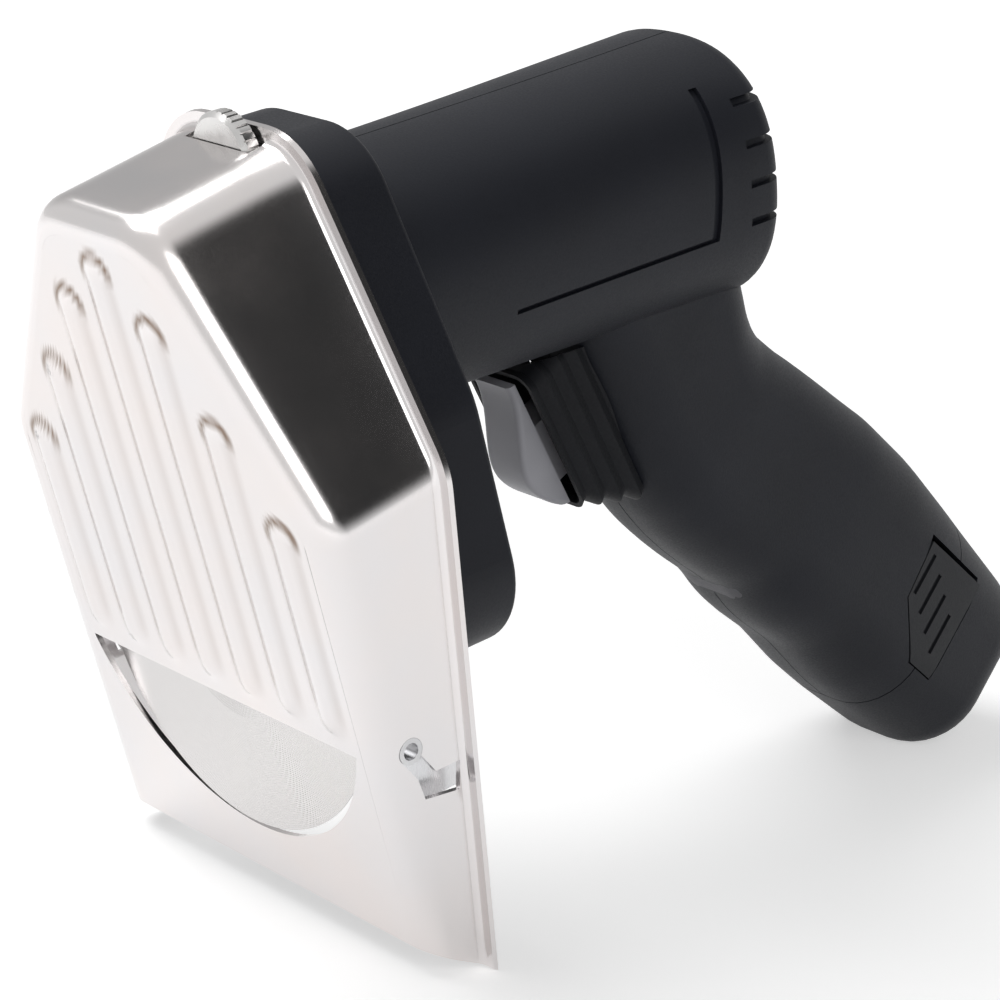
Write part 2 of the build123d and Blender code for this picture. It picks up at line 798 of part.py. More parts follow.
# Bracket across the gear case, whose two arms carry the guard's pivot pins
with BuildPart() as guard_bracket:
    with BuildSketch(facing_front(case_front)):
        with Locations((0, (bracket_top - bracket_bottom) / 2)):
            Rectangle(2 * bracket_half_width, bracket_top + bracket_bottom)
        Circle(boss_radius + cover_gap, mode=Mode.SUBTRACT)
        with Locations(*bracket_screw_places):
            Circle(case_screw_radius + running_gap, mode=Mode.SUBTRACT)
    extrude(amount=bracket_sheet)
    for side in (-1, 1):
        with BuildSketch(Plane.YZ.offset(side * (bracket_half_width - bracket_sheet / 2))):
            with BuildLine():
                Polyline(
                    (case_front, -bracket_arm_top),
                    (-pivot_front, bracket_arm_margin + pivot_pin_radius - pivot_depth),
                    (-pivot_front - bracket_arm_margin, -pivot_depth),
                    (bracket_arm_back_slope - pivot_front, -bracket_arm_bottom),
                    (case_front, -bracket_arm_bottom),
                    close=True,
                )
            make_face()
            with Locations((-pivot_front, -pivot_depth)):
                Circle(pivot_pin_radius + running_gap, mode=Mode.SUBTRACT)
        extrude(amount=bracket_sheet / 2, both=True)
guard_bracket.part.label = "guard_bracket"

pin_start = bracket_half_width - bracket_sheet - pin_head_thickness
with BuildPart() as pivot_pins:
    for side in (-1, 1):
        pin_plane = Plane(origin=(side * pin_start, -pivot_front, -pivot_depth), z_dir=(side, 0, 0))
        with BuildSketch(pin_plane):
            Circle(pin_head_radius)
        extrude(amount=pin_head_thickness)
        with BuildSketch(pin_plane):
            Circle(pivot_pin_radius)
        extrude(amount=guard_half_width - pin_start)
        with BuildSketch(pin_plane.offset(guard_half_width - pin_start)):
            Circle(pin_socket_radius)
        extrude(amount=-pin_socket_depth, mode=Mode.SUBTRACT)
pivot_pins.part.label = "pivot_pins"


def guard_outline(plane, growth, bottom):
    """Arched outline of the guard's wall, grown outward, open below."""
    side = guard_half_width + growth
    bend = guard_bend_height + growth * tan((pi / 2 - shoulder_angle) / 2)
    apex = guard_apex_half_width + growth * tan(shoulder_angle / 2)
    top = guard_top + growth
    with BuildSketch(plane) as outline:
        with BuildLine():
            Polyline(
                (-side, -bottom),
                (-side, bend),
                (-apex, top),
                (apex, top),
                (side, bend),
                (side, -bottom),
                close=True,
            )
        make_face()
        bends = outline.vertices().group_by(Axis.Y)[1]
        peaks = outline.vertices().group_by(Axis.Y)[2]
        fillet(bends, radius=guard_side_corner + growth)
        fillet(peaks, radius=guard_top_corner + growth)
    return outline.sketch


def guard_block(inset):
    """The guard's hood as a solid, drawn in by an inset."""
    bottom = guard_rim_bottom + overrun
    with BuildPart() as block:
        reach = guard_depth + (guard_top + guard_rim_bottom) * tan(face_angle)
        extrude(guard_outline(facing_front(0), -inset, bottom), amount=reach)
        split(bisect_by=plate_face.offset(-inset), keep=Keep.BOTTOM)
        plate_edges = block.faces().sort_by(Axis.Y)[0].edges().sort_by(Axis.Z)[1:]
        fillet(plate_edges, radius=guard_front_radius - inset)
    return block.part


def bead_top(x):
    """Height of a bead's upper end, under the guard's shoulders and apex."""
    shoulder = guard_bend_height + (guard_half_width - abs(x)) * tan(shoulder_angle)
    return min(guard_top - bead_top_border, shoulder - bead_border / cos(shoulder_angle))


# Guard: pressed hood with a rear rim, beads, crescent opening, keyholes and the wheel's slot
guard_outer = guard_block(0)
guard_inner = guard_block(guard_sheet)
with BuildPart() as guard:
    add(guard_outer)
    extrude(guard_outline(facing_front(0), guard_rim_width, guard_rim_bottom + overrun), amount=guard_sheet)
    add(guard_inner, mode=Mode.SUBTRACT)
    bottom_fall = guard_rim_bottom - guard_plate_bottom
    bottom_run = guard_depth - guard_plate_bottom * tan(face_angle)
    bottom_angle = atan2(bottom_fall, bottom_run)
    lower_cut = Plane(
        origin=(0, 0, -guard_rim_bottom),
        x_dir=(1, 0, 0),
        z_dir=(0, sin(bottom_angle), cos(bottom_angle)),
    )
    split(bisect_by=lower_cut, keep=Keep.TOP)
    for number in range(-bead_half_count, bead_half_count + 1):
        bead_x = number * bead_pitch
        bead_start = bead_above_chord - mouth_chord_depth
        bead_length = (bead_top(bead_x) - bead_start) / cos(face_angle)
        with BuildSketch(plate_face.offset(-guard_sheet / 2)):
            with Locations((bead_x, bead_start + bead_length / 2)):
                SlotOverall(bead_length, bead_width, rotation=90)
        extrude(amount=bead_height + guard_sheet / 2)
    bead_edges = guard.edges().filter_by_position(
        Axis(plate_face.origin, plate_face.z_dir), bead_height - bead_round, bead_height + bead_round
    )
    fillet(bead_edges, radius=bead_round)
    with BuildSketch(facing_front(0)) as mouth:
        Circle(mouth_radius)
        with Locations((0, mouth_radius - mouth_chord_depth)):
            Rectangle(2 * mouth_radius, 2 * mouth_radius, mode=Mode.SUBTRACT)
        fillet(mouth.vertices(), radius=mouth_corner)
    extrude(amount=guard_depth + overrun, mode=Mode.SUBTRACT)
    with BuildSketch(Plane.YZ):
        window_top = -pivot_depth - keyhole_window_drop
        window_back = -keyhole_window_back
        window_front = window_back - keyhole_window_width
        foot_step = (keyhole_window_width - keyhole_window_foot) / 2
        with Locations((-pivot_front, -pivot_depth)):
            Circle(pivot_pin_radius + running_gap)
        with BuildLine():
            Polyline(
                (-pivot_front, -pivot_depth),
                (pivot_pin_radius - pivot_front, -pivot_depth),
                (window_front + keyhole_neck_width, window_top),
                (window_back, window_top),
                (window_back - foot_step / 2, window_top - keyhole_window_height - foot_step),
                (window_front + foot_step, window_top - keyhole_window_height),
                (window_front, window_top),
                close=True,
            )
        make_face()
    extrude(amount=guard_half_width + overrun, both=True, mode=Mode.SUBTRACT)
    with BuildSketch(facing_front(-guard_sheet)):
        with Locations((0, guard_top)):
            Rectangle(2 * (wheel_radius + wheel_side_gap), 2 * wheel_radius)
    extrude(amount=wheel_back + wheel_thickness + cover_gap - guard_sheet, mode=Mode.SUBTRACT)
guard.part.label = "guard"

# Thumb wheel in the guard's top slot, knurled, and the fixed stud that it turns on
with BuildPart() as thumb_wheel:
    with BuildSketch(facing_front(-wheel_back, wheel_height)):
        Circle(wheel_radius)
    extrude(amount=wheel_thickness)
    chamfer(thumb_wheel.edges().sort_by(Axis.Y)[0], length=wheel_chamfer)
    with BuildSketch(facing_front(-wheel_back, wheel_height)):
        Circle(wheel_bore_radius)
        with PolarLocations(wheel_radius, wheel_knurls):
            Rectangle(wheel_knurl_depth, wheel_knurl_depth, rotation=45)
    extrude(amount=wheel_thickness, mode=Mode.SUBTRACT)
thumb_wheel.part.label = "thumb_wheel"

with BuildPart() as adjuster_stud:
    with BuildSketch(facing_front(case_front + stud_seat_depth, wheel_height)):
        Circle(stud_radius)
    extrude(amount=stud_length)
    chamfer(adjuster_stud.edges().sort_by(Axis.Y)[0], length=stud_chamfer)
adjuster_stud.part.label = "adjuster_stud"


def barrel_form(inset):
    """The barrel as a solid, drawn in by an inset but not at its front."""
    front = case_back + seat_gap
    with BuildPart() as form:
        with BuildSketch(motor_side):
            with BuildLine():
                flat = Line(
                    (front, barrel_front_radius - inset),
                    (case_back + barrel_straight, barrel_front_radius - inset),
                )
                flare = TangentArc(
                    flat @ 1,
                    (case_back + barrel_shoulder, barrel_shoulder_radius - inset),
                    tangent=flat % 1,
                )
                rim = TangentArc(
                    flare @ 1,
                    (case_back + barrel_rim - inset, barrel_rim_radius),
                    tangent=flare % 1,
                )
                Polyline(
                    rim @ 1,
                    (case_back + barrel_length - inset, 0),
                    (front, 0),
                    flat @ 0,
                )
            make_face()
        revolve(axis=motor_axis)
    return form.part


def grip_row(place_share):
    """Row of the grip's form at a place, between the two rows of the table beside it."""
    for low, high in zip(grip_shares, grip_shares[1:]):
        if place_share <= high[0]:
            part = (place_share - low[0]) / (high[0] - low[0])
            return [start + part * (end - start) for start, end in zip(low, high)]
    return grip_shares[-1]


def grip_form(inset):
    """The grip and the battery cap as one solid, drawn in by an inset."""
    step = (grip_shares[-1][0] - grip_shares[0][0]) / grip_section_count
    with BuildPart() as form:
        for number in range(grip_section_count + 1):
            row = grip_row(grip_shares[0][0] + number * step)
            place_share, front_share, back_share, width_share = row
            depth = (back_share - front_share) * grip_depth
            half_width = width_share * grip_width / 2
            middle = (back_share + front_share) * grip_depth / 2
            with BuildSketch(across_grip(place_share * grip_length)):
                with Locations((0, middle)):
                    RectangleRounded(
                        2 * (half_width - inset),
                        depth - 2 * inset,
                        grip_corner_share * half_width - inset,
                    )
        loft()
    return form.part


def housing_form(inset):
    """Barrel and grip together, drawn in by an inset."""
    with BuildPart() as form:
        add(barrel_form(inset))
        add(grip_form(inset))
    return form.part


joint_plane = across_grip(cap_joint, radians(cap_joint_slope))
button_outline = [
    (button_start, button_back),
    (button_shoulder, 0),
    (button_corner, -button_front),
    (button_end, -button_front),
    (button_end, button_back),
]


def button_opening(inset):
    """Both release buttons' room: their outline with a slot behind and a gap elsewhere, through the wall."""
    with BuildPart() as room:
        with BuildSketch(grip_side):
            with BuildLine():
                Polyline(*button_outline, close=True)
            make_face()
            offset(amount=joint_gap, kind=Kind.INTERSECTION)
            with Locations(((button_start + button_end) / 2, button_back)):
                Rectangle(button_end - button_start, 2 * button_slot)
        extrude(amount=grip_width, both=True)
        add(grip_form(inset), mode=Mode.SUBTRACT)
    return room.part


grip_outer = grip_form(0)
outer_form = housing_form(0)
middle_form = housing_form(housing_wall / 2)
inner_form = housing_form(housing_wall)
groove_floor = housing_form(groove_depth)
ridge_floor = housing_form(ridge_groove_depth)

# Grooves round the barrel: one long line with an upright bar, and the ridges behind
with BuildPart() as barrel_grooves:
    bar_back = case_back + groove_bar_place
    with BuildSketch(Plane.YZ):
        with BuildLine():
            Polyline(
                (case_back + groove_start, groove_height),
                (bar_back, groove_height),
                (bar_back + groove_bar_lean, groove_bar_top),
                (bar_back + groove_bar_lean - groove_bar_width, groove_bar_top),
                (bar_back - groove_bar_width, groove_height + groove_width),
                (case_back + groove_start, groove_height + groove_width),
                close=True,
            )
        make_face()
    extrude(amount=2 * barrel_shoulder_radius, both=True)
    add(groove_floor, mode=Mode.SUBTRACT)

with BuildPart() as barrel_ridges:
    with BuildSketch(Plane.YZ):
        for number in range(ridge_count):
            height = ridge_first_height - number * ridge_pitch
            with Locations((case_back + ridge_start, height)):
                Rectangle(barrel_length, ridge_groove_width, align=(Align.MIN, Align.CENTER))
    extrude(amount=2 * barrel_shoulder_radius, both=True)
    add(ridge_floor, mode=Mode.SUBTRACT)

# Housing screws: their places and the depth of their heads
housing_screw_places = [
    (
        case_back + along * barrel_shoulder,
        motor_height + up * barrel_shoulder_radius,
        depth * barrel_shoulder_radius,
    )
    for along, up, depth in barrel_screw_shares
]
for along, back, depth in grip_screw_shares:
    spot = grip_side.from_local_coords((along * grip_length, back * grip_depth, 0))
    housing_screw_places.append((spot.Y, spot.Z, depth * grip_width))

with BuildPart() as screw_bosses:
    with BuildSketch(Plane.YZ):
        for y, z, head in housing_screw_places:
            with Locations((y, z)):
                Circle(screw_boss_radius)
    extrude(amount=grip_width, both=True)
    add(middle_form, mode=Mode.INTERSECT)

# Bulkhead that holds the switch
with BuildPart() as switch_bulkhead:
    with BuildSketch(trigger_face.offset(-switch_inside - switch_depth / 2)):
        Rectangle(grip_width, switch_rib_height)
        Rectangle(switch_width + 2 * seat_gap, switch_height + 2 * seat_gap, mode=Mode.SUBTRACT)
    extrude(amount=switch_rib)
    add(middle_form, mode=Mode.INTERSECT)

# Both halves of the housing in one, before they are parted at the middle
with BuildPart() as housing:
    add(outer_form)
    add(barrel_grooves.part, mode=Mode.SUBTRACT)
    add(barrel_ridges.part, mode=Mode.SUBTRACT)
    add(inner_form, mode=Mode.SUBTRACT)
    add(screw_bosses.part)
    add(switch_bulkhead.part)
    split(bisect_by=joint_plane, keep=Keep.BOTTOM)
    with BuildSketch(trigger_face.offset(overrun)):
        stem_gap = 2 * cover_gap
        Rectangle(trigger_stem_width + stem_gap, trigger_stem_height + stem_gap)
    extrude(amount=-(2 * overrun + housing_wall), mode=Mode.SUBTRACT)
    add(button_opening(2 * housing_wall), mode=Mode.SUBTRACT)


def housing_half(side, bore, keep):
    """One half of the housing, with holes of a bore for the screws."""
    with BuildPart() as half:
        add(housing.part)
        split(bisect_by=Plane.YZ, keep=keep)
        for y, z, head in housing_screw_places:
            with BuildSketch(Plane.YZ):
                with Locations((y, z)):
                    Circle(bore)
            extrude(amount=side * (screw_grip_length if side > 0 else head), mode=Mode.SUBTRACT)
            if side < 0:
                with BuildSketch(Plane.YZ.offset(-head)):
                    with Locations((y, z)):
                        Circle(screw_head_radius + running_gap)
                extrude(amount=-grip_width, mode=Mode.SUBTRACT)
    return half


housing_left = housing_half(-1, screw_radius + running_gap, Keep.BOTTOM)
housing_left.part.label = "housing_left"
housing_right = housing_half(1, screw_radius + running_gap, Keep.TOP)
housing_right.part.label = "housing_right"

with BuildPart() as housing_screws:
    for y, z, head in housing_screw_places:
        with BuildSketch(Plane.YZ.offset(-head)):
            with Locations((y, z)):
                Circle(screw_head_radius)
        extrude(amount=-screw_head_length)
        with BuildSketch(Plane.YZ.offset(-head)):
            with Locations((y, z)):
                Circle(screw_radius)
        extrude(amount=head + screw_grip_length)
        with BuildSketch(Plane.YZ.offset(-head - screw_head_length)):
            with Locations((y, z)):
                RegularPolygon(screw_radius, side_count=6)
        extrude(amount=screw_head_length / 2, mode=Mode.SUBTRACT)
housing_screws.part.label = "housing_screws"


def cell_outline(plane, radius):
    """Hull of the three cells."""
    with BuildSketch(plane) as outline:
        with BuildLine():
            for place in cell_places:
                CenterArc(place, radius, 0, 360)
        make_hull()
    return outline.sketch


# Battery pack: cap with the pack's rounded end, sleeve, cells and contacts
cell_places = [
    (cell_spread, sleeve_shift - cell_radius),
    (cell_spread, sleeve_shift + cell_radius),
    (-cell_spread, sleeve_shift),
]
with BuildPart() as battery_cells:
    with BuildSketch(across_grip(cell_start)):
        with Locations(*cell_places):
            Circle(cell_radius - running_gap)
    extrude(amount=cell_length)
battery_cells.part.label = "battery_cells"

sleeve_start = cell_start - sleeve_end_thickness - cover_gap
with BuildPart() as battery_sleeve:
    tube = cell_outline(across_grip(sleeve_start), cell_radius + running_gap + sleeve_wall)
    extrude(tube, amount=cell_end - sleeve_start)
    bore = cell_outline(across_grip(sleeve_start + sleeve_end_thickness), cell_radius + running_gap)
    extrude(bore, amount=cell_end - sleeve_start, mode=Mode.SUBTRACT)
    with BuildSketch(across_grip(sleeve_start)):
        with GridLocations(contact_spacing, contact_spacing, 2, 1):
            Rectangle(contact_thickness + 2 * running_gap, contact_width + 2 * running_gap)
    extrude(amount=sleeve_end_thickness, mode=Mode.SUBTRACT)
    add(button_opening(button_thickness + button_travel), mode=Mode.SUBTRACT)
battery_sleeve.part.label = "battery_sleeve"

with BuildPart() as battery_contacts:
    with BuildSketch(across_grip(sleeve_start + sleeve_end_thickness)):
        with GridLocations(contact_spacing, contact_spacing, 2, 1):
            Rectangle(contact_thickness, contact_width)
    extrude(amount=-contact_length)
battery_contacts.part.label = "battery_contacts"

with BuildPart() as battery_cap:
    add(grip_outer)
    fillet(battery_cap.faces().sort_by(Axis(grip_root, across_grip(0).z_dir))[-1].edges(), radius=cap_end_radius)
    split(bisect_by=joint_plane.offset(joint_gap), keep=Keep.TOP)
    split(bisect_by=floor_plane, keep=Keep.TOP)
    pocket = cell_outline(across_grip(sleeve_start), cell_radius + sleeve_wall + 2 * running_gap)
    extrude(pocket, amount=cell_end - sleeve_start, mode=Mode.SUBTRACT)
    add(button_opening(2 * housing_wall), mode=Mode.SUBTRACT)
battery_cap.part.label = "battery_cap"

# Release buttons: skins of the pack's sides with ridges
button_skin = grip_form(button_thickness)
button_ridge_floor = grip_form(button_ridge_depth)
with BuildPart() as buttons:
    with BuildSketch(grip_side):
        with BuildLine():
            Polyline(*button_outline, close=True)
        make_face()
    extrude(amount=grip_width, both=True)
    add(grip_outer, mode=Mode.INTERSECT)
    add(button_skin, mode=Mode.SUBTRACT)
with BuildPart() as button_ridges:
    with BuildSketch(grip_side):
        for number in range(button_ridge_count):
            place = button_shoulder + button_ridge_width + number * button_ridge_pitch
            back = button_back - button_edge - number * button_ridge_lean
            with Locations((place, back)):
                Rectangle(button_ridge_width, button_ridge_length, align=(Align.CENTER, Align.MAX))
    extrude(amount=grip_width, both=True)
    add(button_ridge_floor, mode=Mode.SUBTRACT)


def release_button(keep):
    """The button on one side of the pack."""
    with BuildPart() as button:
        add(buttons.part)
        add(button_ridges.part, mode=Mode.SUBTRACT)
        split(bisect_by=Plane.YZ, keep=keep)
    return button


button_left = release_button(Keep.BOTTOM)
button_left.part.label = "release_button_left"
button_right = release_button(Keep.TOP)
button_right.part.label = "release_button_right"

# Terminal block: fills the grip above the pack, slotted for its contacts
with BuildPart() as terminal_block:
    with BuildSketch(across_grip(terminal_block_start)):
        Rectangle(grip_width, 2 * grip_depth)
    extrude(amount=terminal_block_length)
    add(grip_form(housing_wall + seat_gap), mode=Mode.INTERSECT)
    with BuildSketch(across_grip(terminal_block_start + terminal_block_length)):
        with GridLocations(contact_spacing, contact_spacing, 2, 1):
            Rectangle(contact_thickness + 2 * cover_gap, contact_width + 2 * cover_gap)
    extrude(amount=-contact_slot_depth, mode=Mode.SUBTRACT)
terminal_block.part.label = "terminal_block"

# Trigger: curved pad, a stem through the housing's front, and the switch's plunger
with BuildPart() as trigger:
    with BuildSketch(trigger_side):
        pad_top = (trigger_reach, trigger_height - trigger_drop)
        pad_foot = (trigger_reach, -trigger_drop)
        front = [
            (trigger_reach + bulge * trigger_bulge, height * trigger_height - trigger_drop)
            for height, bulge in trigger_front_shares
        ]
        with BuildLine():
            Line(pad_top, front[0])
            Spline(*front)
            Polyline(front[-1], pad_foot, pad_top)
        make_face()
    extrude(amount=trigger_width / 2, both=True)
    rim = trigger.edges().filter_by(GeomType.BSPLINE)
    fillet(rim, radius=trigger_edge)
    with BuildSketch(trigger_face.offset(trigger_reach)):
        Rectangle(trigger_stem_width, trigger_stem_height)
    extrude(amount=-trigger_reach - trigger_stem_inside)
    with BuildSketch(trigger_face.offset(-trigger_stem_inside)):
        Circle(plunger_radius)
    extrude(amount=-plunger_length)
trigger.part.label = "trigger"


def bellows(inset):
    """Pleated block between the trigger and the housing, drawn in by an inset."""
    count = 2 * boot_pleats
    length = trigger_reach - cover_gap + boot_inside
    with BuildPart() as block:
        for number in range(count + 1):
            share = number / count
            draw = inset + (boot_pleat_depth if number % 2 else 0)
            width = boot_width + share * (boot_front_width - boot_width) - 2 * draw
            top = boot_top + share * (boot_front_top - boot_top) - draw
            bottom = boot_bottom + share * (boot_front_bottom - boot_bottom) - draw
            with BuildSketch(trigger_face.offset(share * length - boot_inside)):
                with Locations((0, (top - bottom) / 2)):
                    RectangleRounded(width, top + bottom, boot_corner - inset)
        loft(ruled=True)
    return block.part


with BuildPart() as trigger_boot:
    add(bellows(0))
    add(bellows(boot_wall), mode=Mode.SUBTRACT)
    add(housing_form(-cover_gap), mode=Mode.SUBTRACT)
trigger_boot.part.label = "trigger_boot"

# Switch behind the grip's front, and the spring between it and the trigger's stem
with BuildPart() as switch_body:
    with BuildSketch(trigger_face.offset(-switch_inside)):
        Rectangle(switch_width, switch_height)
    extrude(amount=-switch_depth)
    plunger_end = trigger_stem_inside + plunger_length + trigger_travel
    with BuildSketch(trigger_face.offset(-switch_inside)):
        Circle(plunger_radius + cover_gap)
    extrude(amount=switch_inside - plunger_end - overrun, mode=Mode.SUBTRACT)
switch_body.part.label = "switch_body"

spring_length = switch_inside - trigger_stem_inside - 2 * spring_wire_radius
spring_start = trigger_face.offset(spring_wire_radius - switch_inside)
with BuildPart() as trigger_spring:
    with BuildLine():
        turns = Helix(
            spring_length / spring_turns,
            spring_length,
            spring_radius,
            center=spring_start.origin,
            direction=spring_start.z_dir,
        )
    with BuildSketch(Plane(origin=turns @ 0, z_dir=turns % 0)):
        Circle(spring_wire_radius)
    sweep()
trigger_spring.part.label = "trigger_spring"

pieces = [
    housing_left,
    housing_right,
    housing_screws,
    gear_case,
    gear_cover,
    cover_screws,
    motor_can,
    motor_end_bell,
    motor_terminals,
    motor_bushings,
    motor_magnets,
    motor_brushes,
    motor_screws,
    front_bearing_outer,
    rear_bearing_outer,
    shaft_seal,
    idler_shaft,
    guard_bracket,
    bracket_screws,
    pivot_pins,
    adjuster_stud,
    switch_body,
    trigger_spring,
    trigger_boot,
    terminal_block,
    blade_shaft,
    output_gear,
    front_bearing_inner,
    rear_bearing_inner,
    blade,
    blade_washer,
    blade_nut,
    idler_gear,
    motor_shaft,
    motor_armature,
    motor_windings,
    motor_commutator,
    motor_pinion,
    guard,
    thumb_wheel,
    trigger,
    battery_cap,
    battery_sleeve,
    battery_cells,
    battery_contacts,
    button_left,
    button_right,
]

# The tool stands on the guard's lower rim and the battery's heel, centred over its own middle
leaning = Location((0, 0, 0), (degrees(floor_angle), 0, 0))
boxes = [piece.part.moved(leaning).bounding_box() for piece in (guard, housing_left, battery_cap)]
middle_y = (min(box.min.Y for box in boxes) + max(box.max.Y for box in boxes)) / 2
floor_z = (leaning * Location((0, 0, -guard_rim_bottom))).position.Z
standing = Location((0, -middle_y, -floor_z)) * leaning

os.makedirs("parts", exist_ok=True)
for piece in pieces:
    piece.part.locate(standing)
    export_step(piece.part, "parts/" + piece.part.label + ".step")
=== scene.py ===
from math import acos, atan2, copysign, cos, hypot, pi, radians, sin, tan

import bmesh
import bpy
from mathutils import Matrix, Vector


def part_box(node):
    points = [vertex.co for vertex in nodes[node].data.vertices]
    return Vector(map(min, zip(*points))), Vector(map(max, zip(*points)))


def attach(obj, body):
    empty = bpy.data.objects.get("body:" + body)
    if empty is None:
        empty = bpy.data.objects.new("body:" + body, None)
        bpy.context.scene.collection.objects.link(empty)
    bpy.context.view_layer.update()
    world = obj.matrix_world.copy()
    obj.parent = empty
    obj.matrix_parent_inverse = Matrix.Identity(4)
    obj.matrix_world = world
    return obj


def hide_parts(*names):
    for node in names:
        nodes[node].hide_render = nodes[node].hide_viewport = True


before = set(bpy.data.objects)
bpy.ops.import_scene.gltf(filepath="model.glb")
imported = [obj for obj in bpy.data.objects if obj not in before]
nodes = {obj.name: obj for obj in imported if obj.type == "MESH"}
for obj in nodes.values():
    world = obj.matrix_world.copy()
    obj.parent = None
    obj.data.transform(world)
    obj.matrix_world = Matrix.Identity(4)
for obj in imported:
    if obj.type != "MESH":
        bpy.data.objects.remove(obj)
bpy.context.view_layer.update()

# Camera, in the row frame: angles in degrees, lengths in metres, the lens in millimetres
camera_azimuth = 47.39
camera_elevation = 15.57
camera_roll = 3.91
camera_distance = 0.6194
camera_lens = 112.9
camera_aim = Vector((-0.0101, -0.0157, 0.0665))

# Light: powers in watts, places and sizes in metres
key_power = 5.0
key_place = (-0.35, -0.25, 0.85)
key_size = 0.6
fill_power = 2.0
fill_place = (0.75, -0.45, 0.55)
fill_size = 0.5
light_aim = (0.0, 0.0, 0.08)
sky_strength = 0.2
floor_grey = 0.80
floor_roughness = 0.9
floor_half = 6.0
floor_drop = 0.0002
floor_lift = 0.50
far_lift = 0.9
near_floor = 0.15
far_floor = 1.0
# Reflections find the world dim round two sides: its strength there, full beyond the wide angle, in degrees
dark_side = Vector((0.75, 0.34, 0.56))
dark_strength = 0.04
dark_narrow = 18.0
dark_wide = 38.0
grey_side = Vector((-0.71, 0.32, 0.63))
grey_strength = 0.6
grey_narrow = 5.0
grey_wide = 45.0

# The blade's axis leans back by this angle, in degrees, and passes through this point
blade_lean = 11.23
blade_centre = (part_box("blade")[0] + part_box("blade")[1]) / 2

# Texture scales, per metre, and the shares by which a colour varies
grain_scale = 4500.0
grain_stretch = 0.03
cloud_scale = 35.0
mottle_scale = 220.0
ring_scale = 900.0
tone_scale = 45.0
warm_shares = (1.0, 0.975, 0.965)
cool_shares = (0.955, 0.965, 0.98)
darker_share = 0.82
plastic_specular = 0.25

millimetres_per_metre = 1000.0


def new_material(name, colour, roughness, metallic=0.0):
    """A material with its default node tree: one shader and the output."""
    material = bpy.data.materials.new(name)
    material.use_nodes = True
    shader = material.node_tree.nodes["Principled BSDF"]
    shader.inputs["Base Color"].default_value = (*colour, 1.0)
    shader.inputs["Roughness"].default_value = roughness
    shader.inputs["Metallic"].default_value = metallic
    return material


def part_of(material):
    """The node tree's nodes, its links and its shader."""
    tree = material.node_tree
    return tree.nodes, tree.links, tree.nodes["Principled BSDF"]


def add_place(material, stretch=(1.0, 1.0, 1.0), shift=(0.0, 0.0, 0.0)):
    """Object coordinates, moved and stretched; returns the vector socket."""
    tree_nodes, links, shader = part_of(material)
    place = tree_nodes.new("ShaderNodeTexCoord")
    mapping = tree_nodes.new("ShaderNodeMapping")
    mapping.vector_type = "POINT"
    mapping.inputs["Scale"].default_value = stretch
    mapping.inputs["Location"].default_value = shift
    links.new(place.outputs["Object"], mapping.inputs["Vector"])
    return mapping.outputs["Vector"]


def add_noise(material, vector, scale, detail=3.0, roughness=0.5):
    """Noise along a vector; returns its value socket."""
    tree_nodes, links, shader = part_of(material)
    noise = tree_nodes.new("ShaderNodeTexNoise")
    noise.inputs["Scale"].default_value = scale
    noise.inputs["Detail"].default_value = detail
    noise.inputs["Roughness"].default_value = roughness
    links.new(vector, noise.inputs["Vector"])
    return noise.outputs["Fac"]


def add_range(material, value, low, high, from_low=0.3, from_high=0.7):
    """Maps a value's usual span to a new one; returns the value socket."""
    tree_nodes, links, shader = part_of(material)
    span = tree_nodes.new("ShaderNodeMapRange")
    span.inputs["From Min"].default_value = from_low
    span.inputs["From Max"].default_value = from_high
    span.inputs["To Min"].default_value = low
    span.inputs["To Max"].default_value = high
    links.new(value, span.inputs["Value"])
    return span.outputs["Result"]


def add_colours(material, value, first, second):
    """Blends two colours by a value into the shader's base colour."""
    tree_nodes, links, shader = part_of(material)
    blend = tree_nodes.new("ShaderNodeMix")
    blend.data_type = "RGBA"
    blend.inputs["A"].default_value = (*first, 1.0)
    blend.inputs["B"].default_value = (*second, 1.0)
    links.new(value, blend.inputs["Factor"])
    links.new(blend.outputs["Result"], shader.inputs["Base Color"])


def add_bump(material, value, depth, strength=1.0):
    """Bumps the surface by a value, with its full depth in metres."""
    tree_nodes, links, shader = part_of(material)
    bump = tree_nodes.new("ShaderNodeBump")
    bump.inputs["Strength"].default_value = strength
    bump.inputs["Distance"].default_value = depth
    links.new(value, bump.inputs["Height"])
    links.new(bump.outputs["Normal"], shader.inputs["Normal"])


def sheet_steel(name, colour, roughness):
    """Satin sheet: fine grain along local Z, clouded gloss and a faint warm and cool mottle."""
    material = new_material(name, colour, roughness, metallic=1.0)
    tree_nodes, links, shader = part_of(material)
    place = add_place(material)
    grain_place = add_place(material, stretch=(1.0, 1.0, grain_stretch))
    grain = add_noise(material, grain_place, grain_scale, detail=4.0)
    cloud = add_noise(material, place, cloud_scale, detail=3.0)
    warm = tuple(part * shade for part, shade in zip(colour, warm_shares))
    cool = tuple(part * shade for part, shade in zip(colour, cool_shares))
    add_colours(material, add_range(material, cloud, 0.0, 1.0), cool, warm)
    blend = tree_nodes.new("ShaderNodeMath")
    blend.operation = "ADD"
    links.new(add_range(material, grain, -0.02, 0.03), blend.inputs[0])
    links.new(add_range(material, cloud, roughness - 0.02, roughness + 0.05), blend.inputs[1])
    links.new(blend.outputs["Value"], shader.inputs["Roughness"])
    add_bump(material, grain, 0.000001)
    return material


